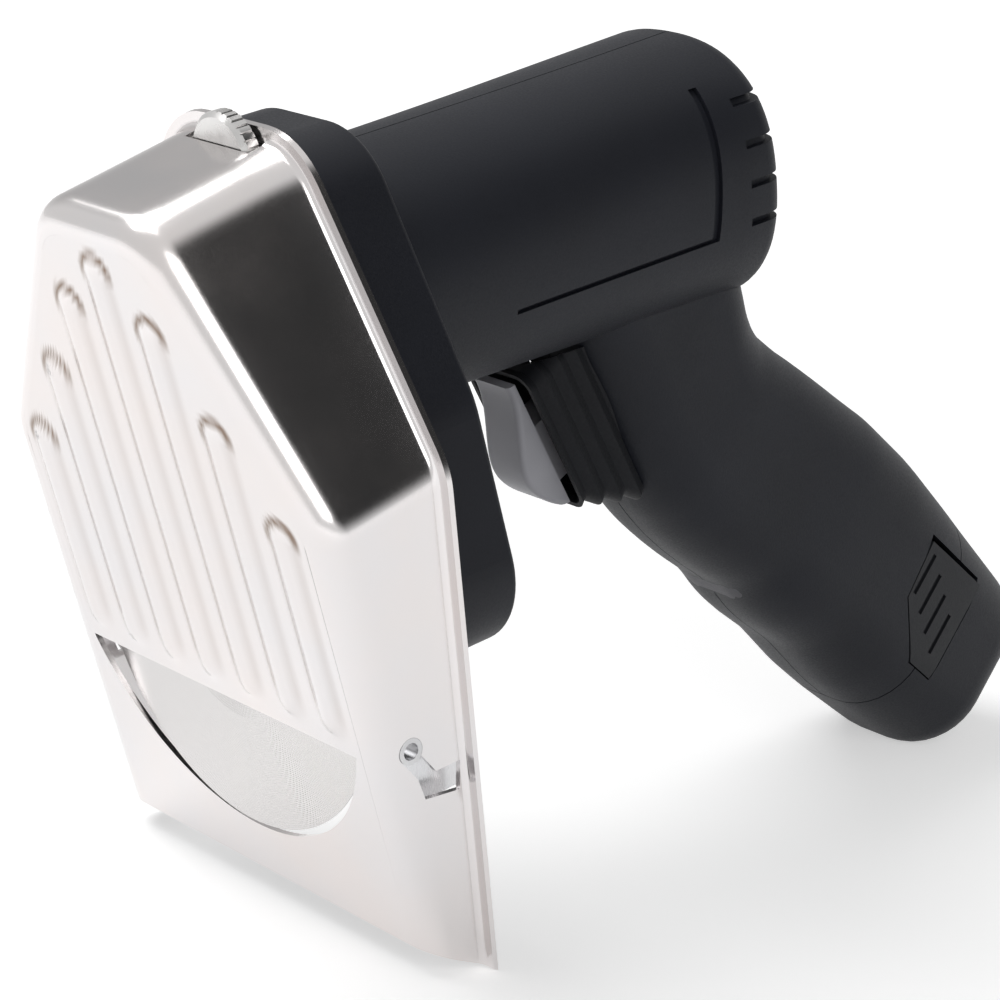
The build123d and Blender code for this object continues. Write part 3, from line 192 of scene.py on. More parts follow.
def turned_steel(name, colour, roughness):
    """Machined steel with a fine mottled grain."""
    material = new_material(name, colour, roughness, metallic=1.0)
    tree_nodes, links, shader = part_of(material)
    place = add_place(material)
    mottle = add_noise(material, place, mottle_scale, detail=5.0)
    links.new(add_range(material, mottle, roughness - 0.06, roughness + 0.1), shader.inputs["Roughness"])
    darker = tuple(part * darker_share for part in colour)
    add_colours(material, add_range(material, mottle, 0.0, 1.0), darker, colour)
    add_bump(material, mottle, 0.00001)
    return material


def ground_steel(name, colour, roughness):
    """Blade steel, ground in circles round the blade's axis."""
    material = new_material(name, colour, roughness, metallic=1.0)
    tree_nodes, links, shader = part_of(material)
    centred = add_place(material, shift=-blade_centre)
    turned = tree_nodes.new("ShaderNodeMapping")
    turned.inputs["Rotation"].default_value = (radians(90.0 - blade_lean), 0.0, 0.0)
    links.new(centred, turned.inputs["Vector"])
    rings = tree_nodes.new("ShaderNodeTexWave")
    rings.wave_type = "RINGS"
    rings.rings_direction = "Z"
    rings.inputs["Scale"].default_value = ring_scale
    rings.inputs["Distortion"].default_value = 1.5
    rings.inputs["Detail"].default_value = 3.0
    links.new(turned.outputs["Vector"], rings.inputs["Vector"])
    links.new(
        add_range(material, rings.outputs["Fac"], roughness - 0.04, roughness + 0.06, 0.0, 1.0),
        shader.inputs["Roughness"],
    )
    add_bump(material, rings.outputs["Fac"], 0.000003)
    return material


def moulded(name, colour, roughness, grain=2600.0, depth=0.00004, lift=1.25):
    """Moulded plastic: an even pebbled grain and a slight change of tone."""
    material = new_material(name, colour, roughness)
    tree_nodes, links, shader = part_of(material)
    place = add_place(material)
    pebble = add_noise(material, place, grain, detail=2.0)
    tone = add_noise(material, place, tone_scale, detail=2.0)
    lighter = tuple(part * lift for part in colour)
    add_colours(material, add_range(material, tone, 0.0, 1.0), colour, lighter)
    links.new(add_range(material, pebble, roughness - 0.05, roughness + 0.08), shader.inputs["Roughness"])
    add_bump(material, pebble, depth, strength=0.5)
    shader.inputs["Specular IOR Level"].default_value = plastic_specular
    return material


def rubber(name, colour, roughness):
    """Soft rubber with a dusty sheen."""
    material = moulded(name, colour, roughness, grain=1800.0, depth=0.00003, lift=1.5)
    shader = part_of(material)[2]
    shader.inputs["Sheen Weight"].default_value = 0.02
    shader.inputs["Sheen Roughness"].default_value = 0.5
    return material


# Guard in pressed sheet, in millimetres on its sliding plate: across, up the plate, and out of it
plate_lean = radians(9.26)
plate_depth = 21.1
tool_lean = 0.19601566
tool_shift = Vector((0.0, -74.62157, 58.85102))
sheet = 1.1
flange = 2.6
flange_turn = 1.2
arch_side = 46.8
arch_bend = 33.4
arch_apex = 16.1
arch_top = 83.85
arch_side_round = 12.0
arch_top_round = 13.5
front_round = 5.5
foot_rear = 60.0
foot_rise = 0.598
bead_half = 3.3
bead_high = 1.1
bead_foot = -9.4
bead_core_share = 0.1
bead_edge_share = 1.3
# Painted shade on the plate: a brownish hoop round each bead's upper end and a faint band along its sides
# stand in for the dark reflection there
hoop_share = 1.15
hoop_half = 1.3
hoop_start = -3.0
hoop_full = 1.5
flank_painted_shade = 0.16
flank_half = 1.6
flank_fade = 6.0
# Beads: place across, and upper end up the plate
beads = [(-35.0, 35.0), (-23.3, 51.5), (-11.7, 67.5), (0.0, 76.0), (11.7, 66.5), (23.3, 50.0), (35.0, 33.5)]
# Steps in the guard's mesh
side_steps = 14
slope_steps = 6
top_steps = 4
round_steps = 8
rim_steps = 4
wall_shares = (0.3, 0.6, 0.85)
bead_quarters = 6
edge_gaps = (0.1, 0.3, 0.6, 1.0, 1.6, 2.4, 3.3)
plate_rows = 100
below_plate = -50.0
narrowest = 1e-6
weld_distance = 0.00002
# Crescent mouth, its places along the blade's axis
mouth_radius = 41.5
mouth_chord = -12.4
mouth_steps = 48
mouth_depths = (-40.0, -4.0)
# Keyhole: the pivot pin's hole from the side, in degrees round it, its neck and the window under it
keyhole_y = -12.6
keyhole_z = -11.4
keyhole_radius = 2.55
keyhole_start = -35.0
keyhole_sweep = 250.0
keyhole_steps = 24
keyhole_window = [(-7.6, -17.2), (-2.1, -17.2), (-2.7, -22.8), (-10.5, -21.6), (-11.7, -17.2)]
keyhole_reach = 60.0
# Slot for the thumb wheel
slot_half = 9.1
slot_low = 80.1
slot_high = 97.0
slot_depths = (-5.3, -1.1)
# Fixed stud of the thumb wheel
stud_height = 84.8
stud_radius = 2.0
stud_rear = 7.6
stud_tip = -5.2
stud_chamfer = 0.5
stud_centre = 0.01
stud_turns = 32


def tool_point(x, y, z):
    """A point of the tool's own frame, in metres in the row frame."""
    y_row = y * cos(tool_lean) - z * sin(tool_lean)
    z_row = y * sin(tool_lean) + z * cos(tool_lean)
    return (Vector((x, y_row, z_row)) + tool_shift) / millimetres_per_metre


def plate_point(x, up, out):
    """A point of the sliding plate's frame, in metres in the row frame."""
    y = -plate_depth - up * sin(plate_lean) - out * cos(plate_lean)
    z = up * cos(plate_lean) - out * sin(plate_lean)
    return tool_point(x, y, z)


def corner_round(before, corner, after, radius, count):
    """Points of the round between two straight lines."""
    into = (corner - before).normalized()
    away = (after - corner).normalized()
    turn = into.angle(away)
    reach = radius * tan(turn / 2)
    start = corner - into * reach
    inward = (away - into).normalized()
    centre = corner + inward * (radius / cos(turn / 2))
    points = []
    for number in range(count + 1):
        share = number / count
        spin = Matrix.Rotation(copysign(turn * share, into.x * away.y - into.y * away.x), 2)
        points.append(centre + spin @ (start - centre))
    return points


def arch_line(growth, foot):
    """The hood's outline, grown outward: the same count of points at every growth."""
    slope = atan2(arch_top - arch_bend, arch_side - arch_apex)
    side = arch_side + growth
    bend = Vector((side, arch_bend + growth * tan((pi / 2 - slope) / 2)))
    peak = Vector((arch_apex + growth * tan(slope / 2), arch_top + growth))
    low = Vector((side, foot))
    middle = Vector((0.0, peak.y))
    lower = corner_round(low, bend, peak, arch_side_round + growth, round_steps)
    upper = corner_round(bend, peak, middle, arch_top_round + growth, round_steps)
    half = [low.lerp(lower[0], number / side_steps) for number in range(side_steps)] + lower
    half += [lower[-1].lerp(upper[0], number / slope_steps) for number in range(1, slope_steps)] + upper
    half += [upper[-1].lerp(middle, number / top_steps) for number in range(1, top_steps + 1)]
    mirrored = [Vector((-point.x, point.y)) for point in half]
    return half + mirrored[-2::-1]


def foot_up(out):
    """Where the hood ends below, up the plate, at a distance out of it."""
    lift = foot_rise * plate_depth - foot_rear
    return (lift + out * (foot_rise * cos(plate_lean) + sin(plate_lean))) / (
        cos(plate_lean) - foot_rise * sin(plate_lean)
    )


def foot_behind(y):
    """Where a loop parallel to the rear rim ends below, up the plate."""
    z = -foot_rear - foot_rise * y
    return cos(plate_lean) * z - sin(plate_lean) * (y + plate_depth)


def out_at(y, up):
    """How far out of the plate a depth y of the tool's frame lies, at a place up the plate."""
    return -(y + plate_depth + up * sin(plate_lean)) / cos(plate_lean)


def arch_height(x):
    """Height of the flat plate's upper edge at x, up the plate."""
    line = arch_line(-front_round, below_plate)
    for first, second in zip(line, line[1:]):
        low, high = sorted((first.x, second.x))
        if low <= x <= high and high - low > narrowest:
            return first.y + (second.y - first.y) * (x - first.x) / (second.x - first.x)
    return line[side_steps].y


def smooth_step(low, high, value):
    """A smooth rise from 0 at low to 1 at high."""
    share = min(max((value - low) / (high - low), 0.0), 1.0)
    return share * share * (3 - 2 * share)


def bead_rise(x, up):
    """How far the beads stand out of the plate at a point, as a part of their full height."""
    rise = 0.0
    for place, top in beads:
        past = max(up - top + bead_half, bead_foot + bead_half - up, 0.0)
        distance = hypot(x - place, past)
        fall = smooth_step(bead_core_share * bead_half, bead_edge_share * bead_half, distance)
        rise = max(rise, 1.0 - fall)
    return rise


def bead_painted_shade(x, up):
    """How dark the painted shade is at a point: a hoop at each bead's upper end, and its sides faintly,
    standing in for the dark reflection there.
    """
    painted_shade = 0.0
    for place, top in beads:
        height = up - top + bead_half
        distance = hypot(x - place, max(height, 0.0))
        hoop = 1.0 - smooth_step(0.0, hoop_half, abs(distance - hoop_share * bead_half))
        painted_shade = max(painted_shade, hoop * smooth_step(hoop_start, hoop_full, height))
        if height < 0.0:
            flank = 1.0 - smooth_step(0.0, flank_half, abs(abs(x - place) - bead_half))
            painted_shade = max(painted_shade, flank_painted_shade * flank * smooth_step(bead_foot, bead_foot + flank_fade, up))
    return painted_shade


def hood_loops():
    """Loops of the hood from its rear rim to the flat plate's edge, with as many points each."""
    rim = [(flange, 0.0), (flange, -sheet)]
    for number in range(rim_steps + 1):
        angle = number * pi / (2 * rim_steps)
        rim.append((flange_turn * (1 - sin(angle)), -sheet - flange_turn * (1 - cos(angle))))
    loops = []
    for growth, y in rim:
        line = arch_line(growth, foot_behind(y))
        loops.append([plate_point(point.x, point.y, out_at(y, point.y)) for point in line])
    wall_rear = -sheet - flange_turn
    start = arch_line(0.0, foot_behind(wall_rear))
    end = arch_line(0.0, foot_up(-front_round))
    for share in wall_shares:
        loop = []
        for first, second in zip(start, end):
            behind = out_at(wall_rear, first.y)
            loop.append(plate_point(
                first.x + (second.x - first.x) * share,
                first.y + (second.y - first.y) * share,
                behind + (-front_round - behind) * share,
            ))
        loops.append(loop)
    for number in range(round_steps + 1):
        angle = number * pi / (2 * round_steps)
        out = -front_round * (1 - sin(angle))
        line = arch_line(-front_round * (1 - cos(angle)), foot_up(out))
        loops.append([plate_point(point.x, point.y, out) for point in line])
    return loops


def plate_columns():
    """Places across the plate where its mesh has a column: close over the beads and at the edges."""
    edge = arch_side - front_round
    columns = {-edge, edge}
    for place, top in beads:
        for quarter in range(-bead_quarters, bead_quarters + 1):
            columns.add(round(place + quarter / 4 * bead_half, 4))
    for gap in edge_gaps:
        columns.add(edge - gap)
        columns.add(gap - edge)
    return sorted(columns)


def guard_surface():
    """The hood's outer skin: rim, wall, rounds and the beaded plate."""
    mesh = bmesh.new()
    rows = [[mesh.verts.new(point) for point in loop] for loop in hood_loops()]
    for first, second in zip(rows, rows[1:]):
        for number in range(len(first) - 1):
            mesh.faces.new((first[number], first[number + 1], second[number + 1], second[number]))
    foot = foot_up(0.0)
    # Each point of the plate carries its painted shade, the dark reflection round the beads, in a vertex
    # attribute
    painted_shade_layer = mesh.verts.layers.float.new("painted_shade")
    grid = []
    for x in plate_columns():
        top = arch_height(x)
        column = []
        for number in range(plate_rows + 1):
            up = foot + (top - foot) * number / plate_rows
            point = mesh.verts.new(plate_point(x, up, bead_high * bead_rise(x, up)))
            point[painted_shade_layer] = bead_painted_shade(x, up)
            column.append(point)
        grid.append(column)
    for first, second in zip(grid, grid[1:]):
        for number in range(plate_rows):
            mesh.faces.new((first[number], second[number], second[number + 1], first[number + 1]))
    return mesh


def piece_from(mesh, name):
    """An object from a bmesh, linked to the scene."""
    data = bpy.data.meshes.new(name)
    mesh.to_mesh(data)
    mesh.free()
    piece = bpy.data.objects.new(name, data)
    bpy.context.scene.collection.objects.link(piece)
    return piece


def prism(name, first, second):
    """A closed block between two outlines with as many points."""
    mesh = bmesh.new()
    rings = [[mesh.verts.new(point) for point in outline] for outline in (first, second)]
    count = len(first)
    for number in range(count):
        after = (number + 1) % count
        mesh.faces.new((rings[0][number], rings[0][after], rings[1][after], rings[1][number]))
    mesh.faces.new(rings[0][::-1])
    mesh.faces.new(rings[1])
    bmesh.ops.recalc_face_normals(mesh, faces=mesh.faces)
    return piece_from(mesh, name)


def depth_prism(name, outline, first, second):
    """A block that a front-view outline sweeps from one depth to another."""
    return prism(
        name,
        [tool_point(x, first, z) for x, z in outline],
        [tool_point(x, second, z) for x, z in outline],
    )


def side_prism(name, outline, first, second):
    """A block that a side-view outline sweeps from one place across to another."""
    return prism(
        name,
        [tool_point(first, y, z) for y, z in outline],
        [tool_point(second, y, z) for y, z in outline],
    )


def settle(piece, cutters):
    """Makes a piece's modifiers and cuts part of its mesh, and takes the cutters away."""
    for cutter in cutters:
        cut = piece.modifiers.new("cut", "BOOLEAN")
        cut.operation = "DIFFERENCE"
        cut.solver = "EXACT"
        cut.object = cutter
    bpy.context.view_layer.update()
    seen_piece = piece.evaluated_get(bpy.context.evaluated_depsgraph_get())
    data = bpy.data.meshes.new_from_object(seen_piece)
    piece.modifiers.clear()
    piece.data = data
    for cutter in cutters:
        bpy.data.objects.remove(cutter)


def shade(piece, sharp_angle=35.0):
    """Smooth shading with the sharp edges kept."""
    for face in piece.data.polygons:
        face.use_smooth = True
    edges = piece.modifiers.new("sharp_edges", "EDGE_SPLIT")
    edges.split_angle = radians(sharp_angle)


def guard_openings():
    """Cutters for the crescent mouth, the two keyholes and the thumb wheel's slot."""
    mouth_end = acos(mouth_chord / mouth_radius)
    mouth_line = []
    for number in range(mouth_steps + 1):
        angle = mouth_end + (2 * pi - 2 * mouth_end) * number / mouth_steps
        mouth_line.append((mouth_radius * sin(angle), mouth_radius * cos(angle)))
    keyhole_line = []
    for number in range(keyhole_steps + 1):
        angle = radians(keyhole_start + keyhole_sweep * number / keyhole_steps)
        y = keyhole_y - keyhole_radius * cos(angle)
        keyhole_line.append((y, keyhole_z + keyhole_radius * sin(angle)))
    keyhole_line += keyhole_window
    slot_line = [(-slot_half, slot_low), (slot_half, slot_low)]
    slot_line += [(slot_half, slot_high), (-slot_half, slot_high)]
    return [
        depth_prism("mouth_cutter", mouth_line, *mouth_depths),
        side_prism("keyhole_cutter", keyhole_line, -keyhole_reach, keyhole_reach),
        depth_prism("slot_cutter", slot_line, *slot_depths),
    ]


def pressed_guard():
    """The guard in pressed sheet, with its openings cut out."""
    mesh = guard_surface()
    bmesh.ops.remove_doubles(mesh, verts=mesh.verts, dist=weld_distance)
    bmesh.ops.recalc_face_normals(mesh, faces=mesh.faces)
    outward = plate_point(0.0, 0.0, 1.0) - plate_point(0.0, 0.0, 0.0)
    mesh.faces.ensure_lookup_table()
    front_face = max(mesh.faces, key=lambda face: face.normal.dot(outward) ** 2)
    if front_face.normal.dot(outward) < 0:
        bmesh.ops.reverse_faces(mesh, faces=mesh.faces)
    piece = piece_from(mesh, "pressed_guard")
    thicken = piece.modifiers.new("sheet", "SOLIDIFY")
    thicken.thickness = sheet / millimetres_per_metre
    thicken.offset = -1.0
    thicken.use_even_offset = True
    settle(piece, guard_openings())
    return piece


def turned_stud():
    """The thumb wheel's stud, with its end chamfered under the hood's sloping top."""
    mesh = bmesh.new()
    profile = [
        (stud_rear, stud_centre),
        (stud_rear, stud_radius),
        (stud_tip + stud_chamfer, stud_radius),
        (stud_tip, stud_radius - stud_chamfer),
        (stud_tip, stud_centre),
    ]
    rows = []
    for y, radius in profile:
        row = []
        for number in range(stud_turns):
            angle = 2 * pi * number / stud_turns
            point = tool_point(radius * cos(angle), y, stud_height + radius * sin(angle))
            row.append(mesh.verts.new(point))
        rows.append(row)
    for first, second in zip(rows, rows[1:]):
        for number in range(stud_turns):
            after = (number + 1) % stud_turns
            mesh.faces.new((first[number], first[after], second[after], second[number]))
    bmesh.ops.recalc_face_normals(mesh, faces=mesh.faces)
    return piece_from(mesh, "turned_stud")


guard_piece = pressed_guard()
stud_piece = turned_stud()
shade(stud_piece)
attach(stud_piece, "handle")
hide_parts("adjuster_stud")
shade(guard_piece)
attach(guard_piece, "guard")
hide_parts("guard")

# Housing and battery cap in moulded plastic, in millimetres in the tool's own frame
barrel_front = 15.1
barrel_centre = 55.9
barrel_radius = 25.2
barrel_swell = 1.1
barrel_round_start = 102.3
barrel_round = 4.6
barrel_end = 107.6
barrel_turns = 96
barrel_seat = 5.0
barrel_swell_steps = 12
barrel_round_steps = 8
barrel_square = 0.4
end_share = 0.5
end_inset = 0.15
inner_front = 5.0
shell_wall = 2.0
grip_slope = radians(46.9)
grip_root = Vector((0.0, 72.7, 28.5))
grip_along = Vector((0.0, cos(grip_slope), -sin(grip_slope)))
grip_back = Vector((0.0, sin(grip_slope), cos(grip_slope)))
grip_length = 150.0
grip_depth = 52.0
grip_half = 20.5
grip_round_share = 0.8
grip_steps = 90
cap_round = 10.0
cap_joint = 117.0
cap_turn = radians(5.6)
cap_round_steps = 10
corner_steps = 9
corner_gap = 0.05
least_corner = 0.3
joint_gap = 0.15
block_size = 200.0
square_corners = ((-1, -1), (1, -1), (1, 1), (-1, 1))
# How far to each side in the table a row of the grip is evened out, and where its end begins
even_shares = (-0.015, -0.005, 0.005, 0.015)
grip_end_share = 0.9
# Grip: place along, front and back as parts of the depth, width as a part of the full width
grip_shares = [
    (-0.067, -0.063, 0.860, 0.83),
    (0.053, -0.190, 0.730, 0.83),
    (0.133, -0.288, 0.596, 0.84),
    (0.180, -0.338, 0.504, 0.85),
    (0.227, -0.379, 0.458, 0.87),
    (0.287, -0.404, 0.464, 0.88),
    (0.340, -0.410, 0.482, 0.89),
    (0.393, -0.405, 0.494, 0.91),
    (0.453, -0.392, 0.505, 0.94),
    (0.507, -0.420, 0.518, 0.965),
    (0.547, -0.428, 0.516, 0.975),
    (0.627, -0.417, 0.512, 0.985),
    (0.733, -0.446, 0.479, 0.99),
    (0.800, -0.447, 0.455, 0.99),
    (0.900, -0.437, 0.424, 0.97),
    (1.000, -0.425, 0.390, 0.95),
]


def closed_mesh(name, rings):
    """A closed skin over rings with as many points each, in millimetres of the tool's frame."""
    mesh = bmesh.new()
    rows = [[mesh.verts.new(tool_point(*point)) for point in ring] for ring in rings]
    count = len(rows[0])
    for first, second in zip(rows, rows[1:]):
        for number in range(count):
            after = (number + 1) % count
            mesh.faces.new((first[number], first[after], second[after], second[number]))
    mesh.faces.new(rows[0][::-1])
    mesh.faces.new(rows[-1])
    bmesh.ops.recalc_face_normals(mesh, faces=mesh.faces)
    return piece_from(mesh, name)


def barrel_block(name, inset, front):
    """The barrel as a closed block, drawn in by an inset."""
    places = [(front, barrel_radius), (barrel_front + barrel_seat, barrel_radius)]
    for number in range(1, barrel_swell_steps + 1):
        share = number / barrel_swell_steps
        y = barrel_front + barrel_seat + (barrel_round_start - barrel_front - barrel_seat) * share
        places.append((y, barrel_radius + barrel_swell * share * share))
    turned = barrel_radius + barrel_swell - barrel_round
    for number in range(1, barrel_round_steps + 1):
        angle = number * pi / (2 * barrel_round_steps)
        reach = barrel_round - inset
        places.append((barrel_round_start + reach * sin(angle), turned + inset + reach * cos(angle)))
    places.append((barrel_end - inset - end_inset, end_share * turned))
    rings = []
    for y, radius in places:
        square = 2.0 + barrel_square * smooth_step(barrel_front, barrel_round_start, y)
        ring = []
        for number in range(barrel_turns):
            angle = 2 * pi * number / barrel_turns
            across, up = cos(angle), sin(angle)
            span = (radius - inset) / (abs(across) ** square + abs(up) ** square) ** (1 / square)
            ring.append((span * across, y, barrel_centre + span * up))
        rings.append(ring)
    return closed_mesh(name, rings)


def grip_row(place):
    """Front, back and width of the grip at a place, between the rows of its table."""
    for low, high in zip(grip_shares, grip_shares[1:]):
        if place <= high[0]:
            part = max((place - low[0]) / (high[0] - low[0]), 0.0)
            return [start + part * (end - start) for start, end in zip(low[1:], high[1:])]
    return list(grip_shares[-1][1:])


def grip_block(name, inset):
    """The grip and the battery cap as one closed block, drawn in by an inset."""
    first, last = grip_shares[0][0], grip_shares[-1][0]
    places = [first + (last - first) * number / grip_steps for number in range(grip_steps)]
    places = [place for place in places if place * grip_length < grip_length - cap_round]
    rounds = []
    for number in range(cap_round_steps + 1):
        angle = number * pi / (2 * cap_round_steps)
        rounds.append(1.0 - (cap_round * (1 - sin(angle))) / grip_length)
    rings = []
    for place in places + rounds:
        rows = [grip_row(place + shift) for shift in even_shares]
        front, back, width = (sum(row[column] for row in rows) / len(rows) for column in range(3))
        left = max(cap_round - (1.0 - place) * grip_length, 0.0)
        drawn = inset + cap_round - (cap_round ** 2 - min(left, cap_round) ** 2) ** 0.5
        half = width * grip_half - drawn
        depth = (back - front) * grip_depth - 2 * drawn
        middle = (back + front) * grip_depth / 2
        corner = grip_round_share * width * grip_half - drawn
        corner = max(min(corner, half - corner_gap, depth / 2 - corner_gap), least_corner)
        ring = []
        for turn, (across, up) in enumerate(((1, 1), (-1, 1), (-1, -1), (1, -1))):
            for number in range(corner_steps + 1):
                angle = (turn + number / corner_steps) * pi / 2
                x = across * (half - corner) + corner * cos(angle)
                rise = middle + up * (depth / 2 - corner) + corner * sin(angle)
                along = place * grip_length - inset * (place > grip_end_share)
                spot = grip_root + grip_along * along + grip_back * rise
                ring.append((x, spot.y, spot.z))
        rings.append(ring)
    return closed_mesh(name, rings)


def slab(name, origin, normal):
    """A large block on one side of a plane."""
    flat = Vector((1.0, 0.0, 0.0))
    upright = normal.cross(flat)
    corners = [origin + flat * a * block_size + upright * b * block_size for a, b in square_corners]
    return prism(
        name,
        [tool_point(*corner) for corner in corners],
        [tool_point(*(corner + normal * block_size)) for corner in corners],
    )


def join(piece, others, operation):
    """Adds modifiers that join a piece with others or cut them from it."""
    for other in others:
        step = piece.modifiers.new("join", "BOOLEAN")
        step.operation = operation
        step.solver = "EXACT"
        step.object = other


def take_away(pieces):
    """Removes scratch blocks."""
    for piece in pieces:
        bpy.data.objects.remove(piece)


def engraved(name, outlines, first, second, depth):
    """Blocks from side-view outlines, cut down to a depth under the housing's surface."""
    cutters = [side_prism(name, outline, first, second) for outline in outlines]
    floors = [barrel_block("floor", depth, inner_front), grip_block("floor", depth)]
    for cutter in cutters:
        join(cutter, floors, "DIFFERENCE")
        settle(cutter, [])
    take_away(floors)
    return cutters


joint_origin = grip_root + grip_along * cap_joint
joint_normal = Vector((0.0, cos(grip_slope - cap_turn), -sin(grip_slope - cap_turn)))
side_reach = 40.0

# Release button's opening on each side, its outline in places along and behind the grip's axis
button_line = [(102.3, 14.4), (102.3, 12.9), (103.7, -0.2), (115.2, -10.8), (124.3, -10.8), (124.3, 14.4)]
button_outline = []
for along, behind in button_line:
    spot = grip_root + grip_along * along + grip_back * behind
    button_outline.append((spot.y, spot.z))
room_inner = 14.0
cap_room_inner = 16.2

# Long groove with its upright bar
groove_front = 38.7
groove_low = 48.4
groove_high = 49.4
groove_depth = 0.9
groove_inner = 5.0
bar = 89.0
bar_top = 76.5
groove_outline = [
    (groove_front, groove_low),
    (bar, groove_low),
    (bar + 3.0, bar_top),
    (bar + 1.0, bar_top),
    (bar - 1.9, groove_high),
    (groove_front, groove_high),
]

# Ridges behind the bar
ridge_count = 4
ridge_top = 72.6
ridge_pitch = 7.6
ridge_half = 0.8
ridge_front = 97.5
ridge_back = 120.0
ridge_depth = 1.3
ridge_inner = 2.5
ridge_outlines = []
for number in range(ridge_count):
    height = ridge_top - ridge_pitch * number
    low, high = height - ridge_half, height + ridge_half
    ridge_outlines.append([(ridge_front, low), (ridge_back, low), (ridge_back, high), (ridge_front, high)])

# Parting line between the halves, cut by a sheet that is larger than the housing
parting_half = 0.13
parting_depth = 0.4
parting_outline = [(0.0, -90.0), (190.0, -90.0), (190.0, 100.0), (0.0, 100.0)]

# Room for the trigger's stem
stem_slope = radians(22.4)
stem_out = Vector((0.0, -cos(stem_slope), -sin(stem_slope)))
stem_up = Vector((0.0, -stem_out.z, stem_out.y)) * -1.0
stem_root = Vector((0.0, 71.8, 13.4))
stem_half = 4.0
stem_half_height = 7.6
stem_ahead = 4.0
stem_behind = 6.0


def stem_room():
    """The cutter for the trigger's stem."""
    corners = []
    for a, b in square_corners:
        corners.append(Vector((a * stem_half, 0.0, 0.0)) + stem_up * (b * stem_half_height))
    return prism(
        "stem_room",
        [tool_point(*(stem_root + corner + stem_out * stem_ahead)) for corner in corners],
        [tool_point(*(stem_root + corner - stem_out * stem_behind)) for corner in corners],
    )


def moulded_housing():
    """Barrel and grip in one shell, open at the battery's joint, with its grooves and rooms."""
    piece = barrel_block("moulded_housing", 0.0, barrel_front)
    grip_outer = grip_block("grip_outer", 0.0)
    join(piece, [grip_outer], "UNION")
    settle(piece, [])
    take_away([grip_outer])
    cutters = [barrel_block("barrel_inner", shell_wall, inner_front), grip_block("grip_inner", shell_wall)]
    cutters.append(slab("beyond_joint", joint_origin - joint_normal * joint_gap, joint_normal))
    for side in (-1, 1):
        reach = side * side_reach
        cutters.append(side_prism("button_room", button_outline, side * room_inner, reach))
        cutters += engraved("groove", [groove_outline], side * groove_inner, reach, groove_depth)
        cutters += engraved("ridge", ridge_outlines, side * ridge_inner, reach, ridge_depth)
    cutters += engraved("parting", [parting_outline], -parting_half, parting_half, parting_depth)
    cutters.append(stem_room())
    settle(piece, cutters)
    return piece


def moulded_battery_cap():
    """The battery's cap, from the joint to the grip's end, flat where it stands on the floor."""
    piece = grip_block("moulded_battery_cap", 0.0)
    cutters = [slab("before_joint", joint_origin + joint_normal * joint_gap, -joint_normal)]
    for side in (-1, 1):
        cutters.append(side_prism("button_room", button_outline, side * cap_room_inner, side * side_reach))
    settle(piece, cutters)
    for point in piece.data.vertices:
        point.co.z = max(point.co.z, 0.0)
    return piece


housing_piece = moulded_housing()
shade(housing_piece, 40.0)
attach(housing_piece, "handle")
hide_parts("housing_left", "housing_right")

cap_piece = moulded_battery_cap()
shade(cap_piece, 40.0)
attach(cap_piece, "battery")
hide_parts("battery_cap")



def add_painted_shade(material, painted_shade_colour):
    """Paints shade into a material's colour by the vertex attribute that the guard's mesh carries: the dark
    reflection round the beads' ends and along their sides.
    """
    tree_nodes, links, shader = part_of(material)
    painted_shade = tree_nodes.new("ShaderNodeAttribute")
    painted_shade.attribute_name = "painted_shade"
    with_painted_shade = tree_nodes.new("ShaderNodeMix")
    with_painted_shade.data_type = "RGBA"
    links.new(shader.inputs["Base Color"].links[0].from_socket, with_painted_shade.inputs["A"])
    with_painted_shade.inputs["B"].default_value = (*painted_shade_colour, 1.0)
    links.new(painted_shade.outputs["Fac"], with_painted_shade.inputs["Factor"])
    links.new(with_painted_shade.outputs["Result"], shader.inputs["Base Color"])


guard_steel = sheet_steel("guard_sheet_steel", (0.76, 0.735, 0.728), 0.17)
# Painted shade: the guard's steel turns dark brown round the beads' ends and faintly along their sides
add_painted_shade(guard_steel, (0.20, 0.135, 0.095))
bracket_steel = sheet_steel("bracket_sheet_steel", (0.74, 0.74, 0.745), 0.28)
blade_steel = ground_steel("blade_ground_steel", (0.64, 0.625, 0.62), 0.26)
bright_steel = turned_steel("bright_turned_steel", (0.68, 0.68, 0.69), 0.26)
wheel_steel = turned_steel("wheel_turned_steel", (0.72, 0.71, 0.70), 0.24)
black_steel = turned_steel("blackened_steel", (0.06, 0.06, 0.065), 0.42)
gear_steel = turned_steel("gear_cut_steel", (0.50, 0.50, 0.51), 0.34)
motor_steel = turned_steel("motor_drawn_steel", (0.60, 0.60, 0.60), 0.36)
brass = turned_steel("plain_brass", (0.70, 0.50, 0.22), 0.32)
copper = turned_steel("enamelled_copper", (0.62, 0.27, 0.12), 0.34)
ferrite = turned_steel("sintered_ferrite", (0.09, 0.09, 0.10), 0.6)
housing_plastic = moulded("housing_moulded_plastic", (0.0100, 0.0112, 0.0160), 0.50)
case_plastic = moulded("case_moulded_plastic", (0.0095, 0.0105, 0.0150), 0.46)
battery_plastic = moulded("battery_moulded_plastic", (0.0100, 0.0112, 0.0160), 0.50)
button_plastic = moulded("button_moulded_plastic", (0.016, 0.017, 0.020), 0.48)
trigger_plastic = moulded("trigger_moulded_plastic", (0.38, 0.38, 0.41), 0.42, depth=0.00002)
inner_plastic = moulded("inner_moulded_plastic", (0.07, 0.07, 0.08), 0.5)
motor_plastic = moulded("motor_moulded_plastic", (0.55, 0.54, 0.50), 0.45, lift=1.08)
cell_film = moulded("cell_shrunk_film", (0.05, 0.20, 0.26), 0.3, depth=0.00001)
boot_rubber = rubber("boot_soft_rubber", (0.0045, 0.0050, 0.0070), 0.60)
seal_rubber = rubber("seal_soft_rubber", (0.02, 0.02, 0.02), 0.5)
carbon = moulded("brush_carbon", (0.03, 0.03, 0.03), 0.6)

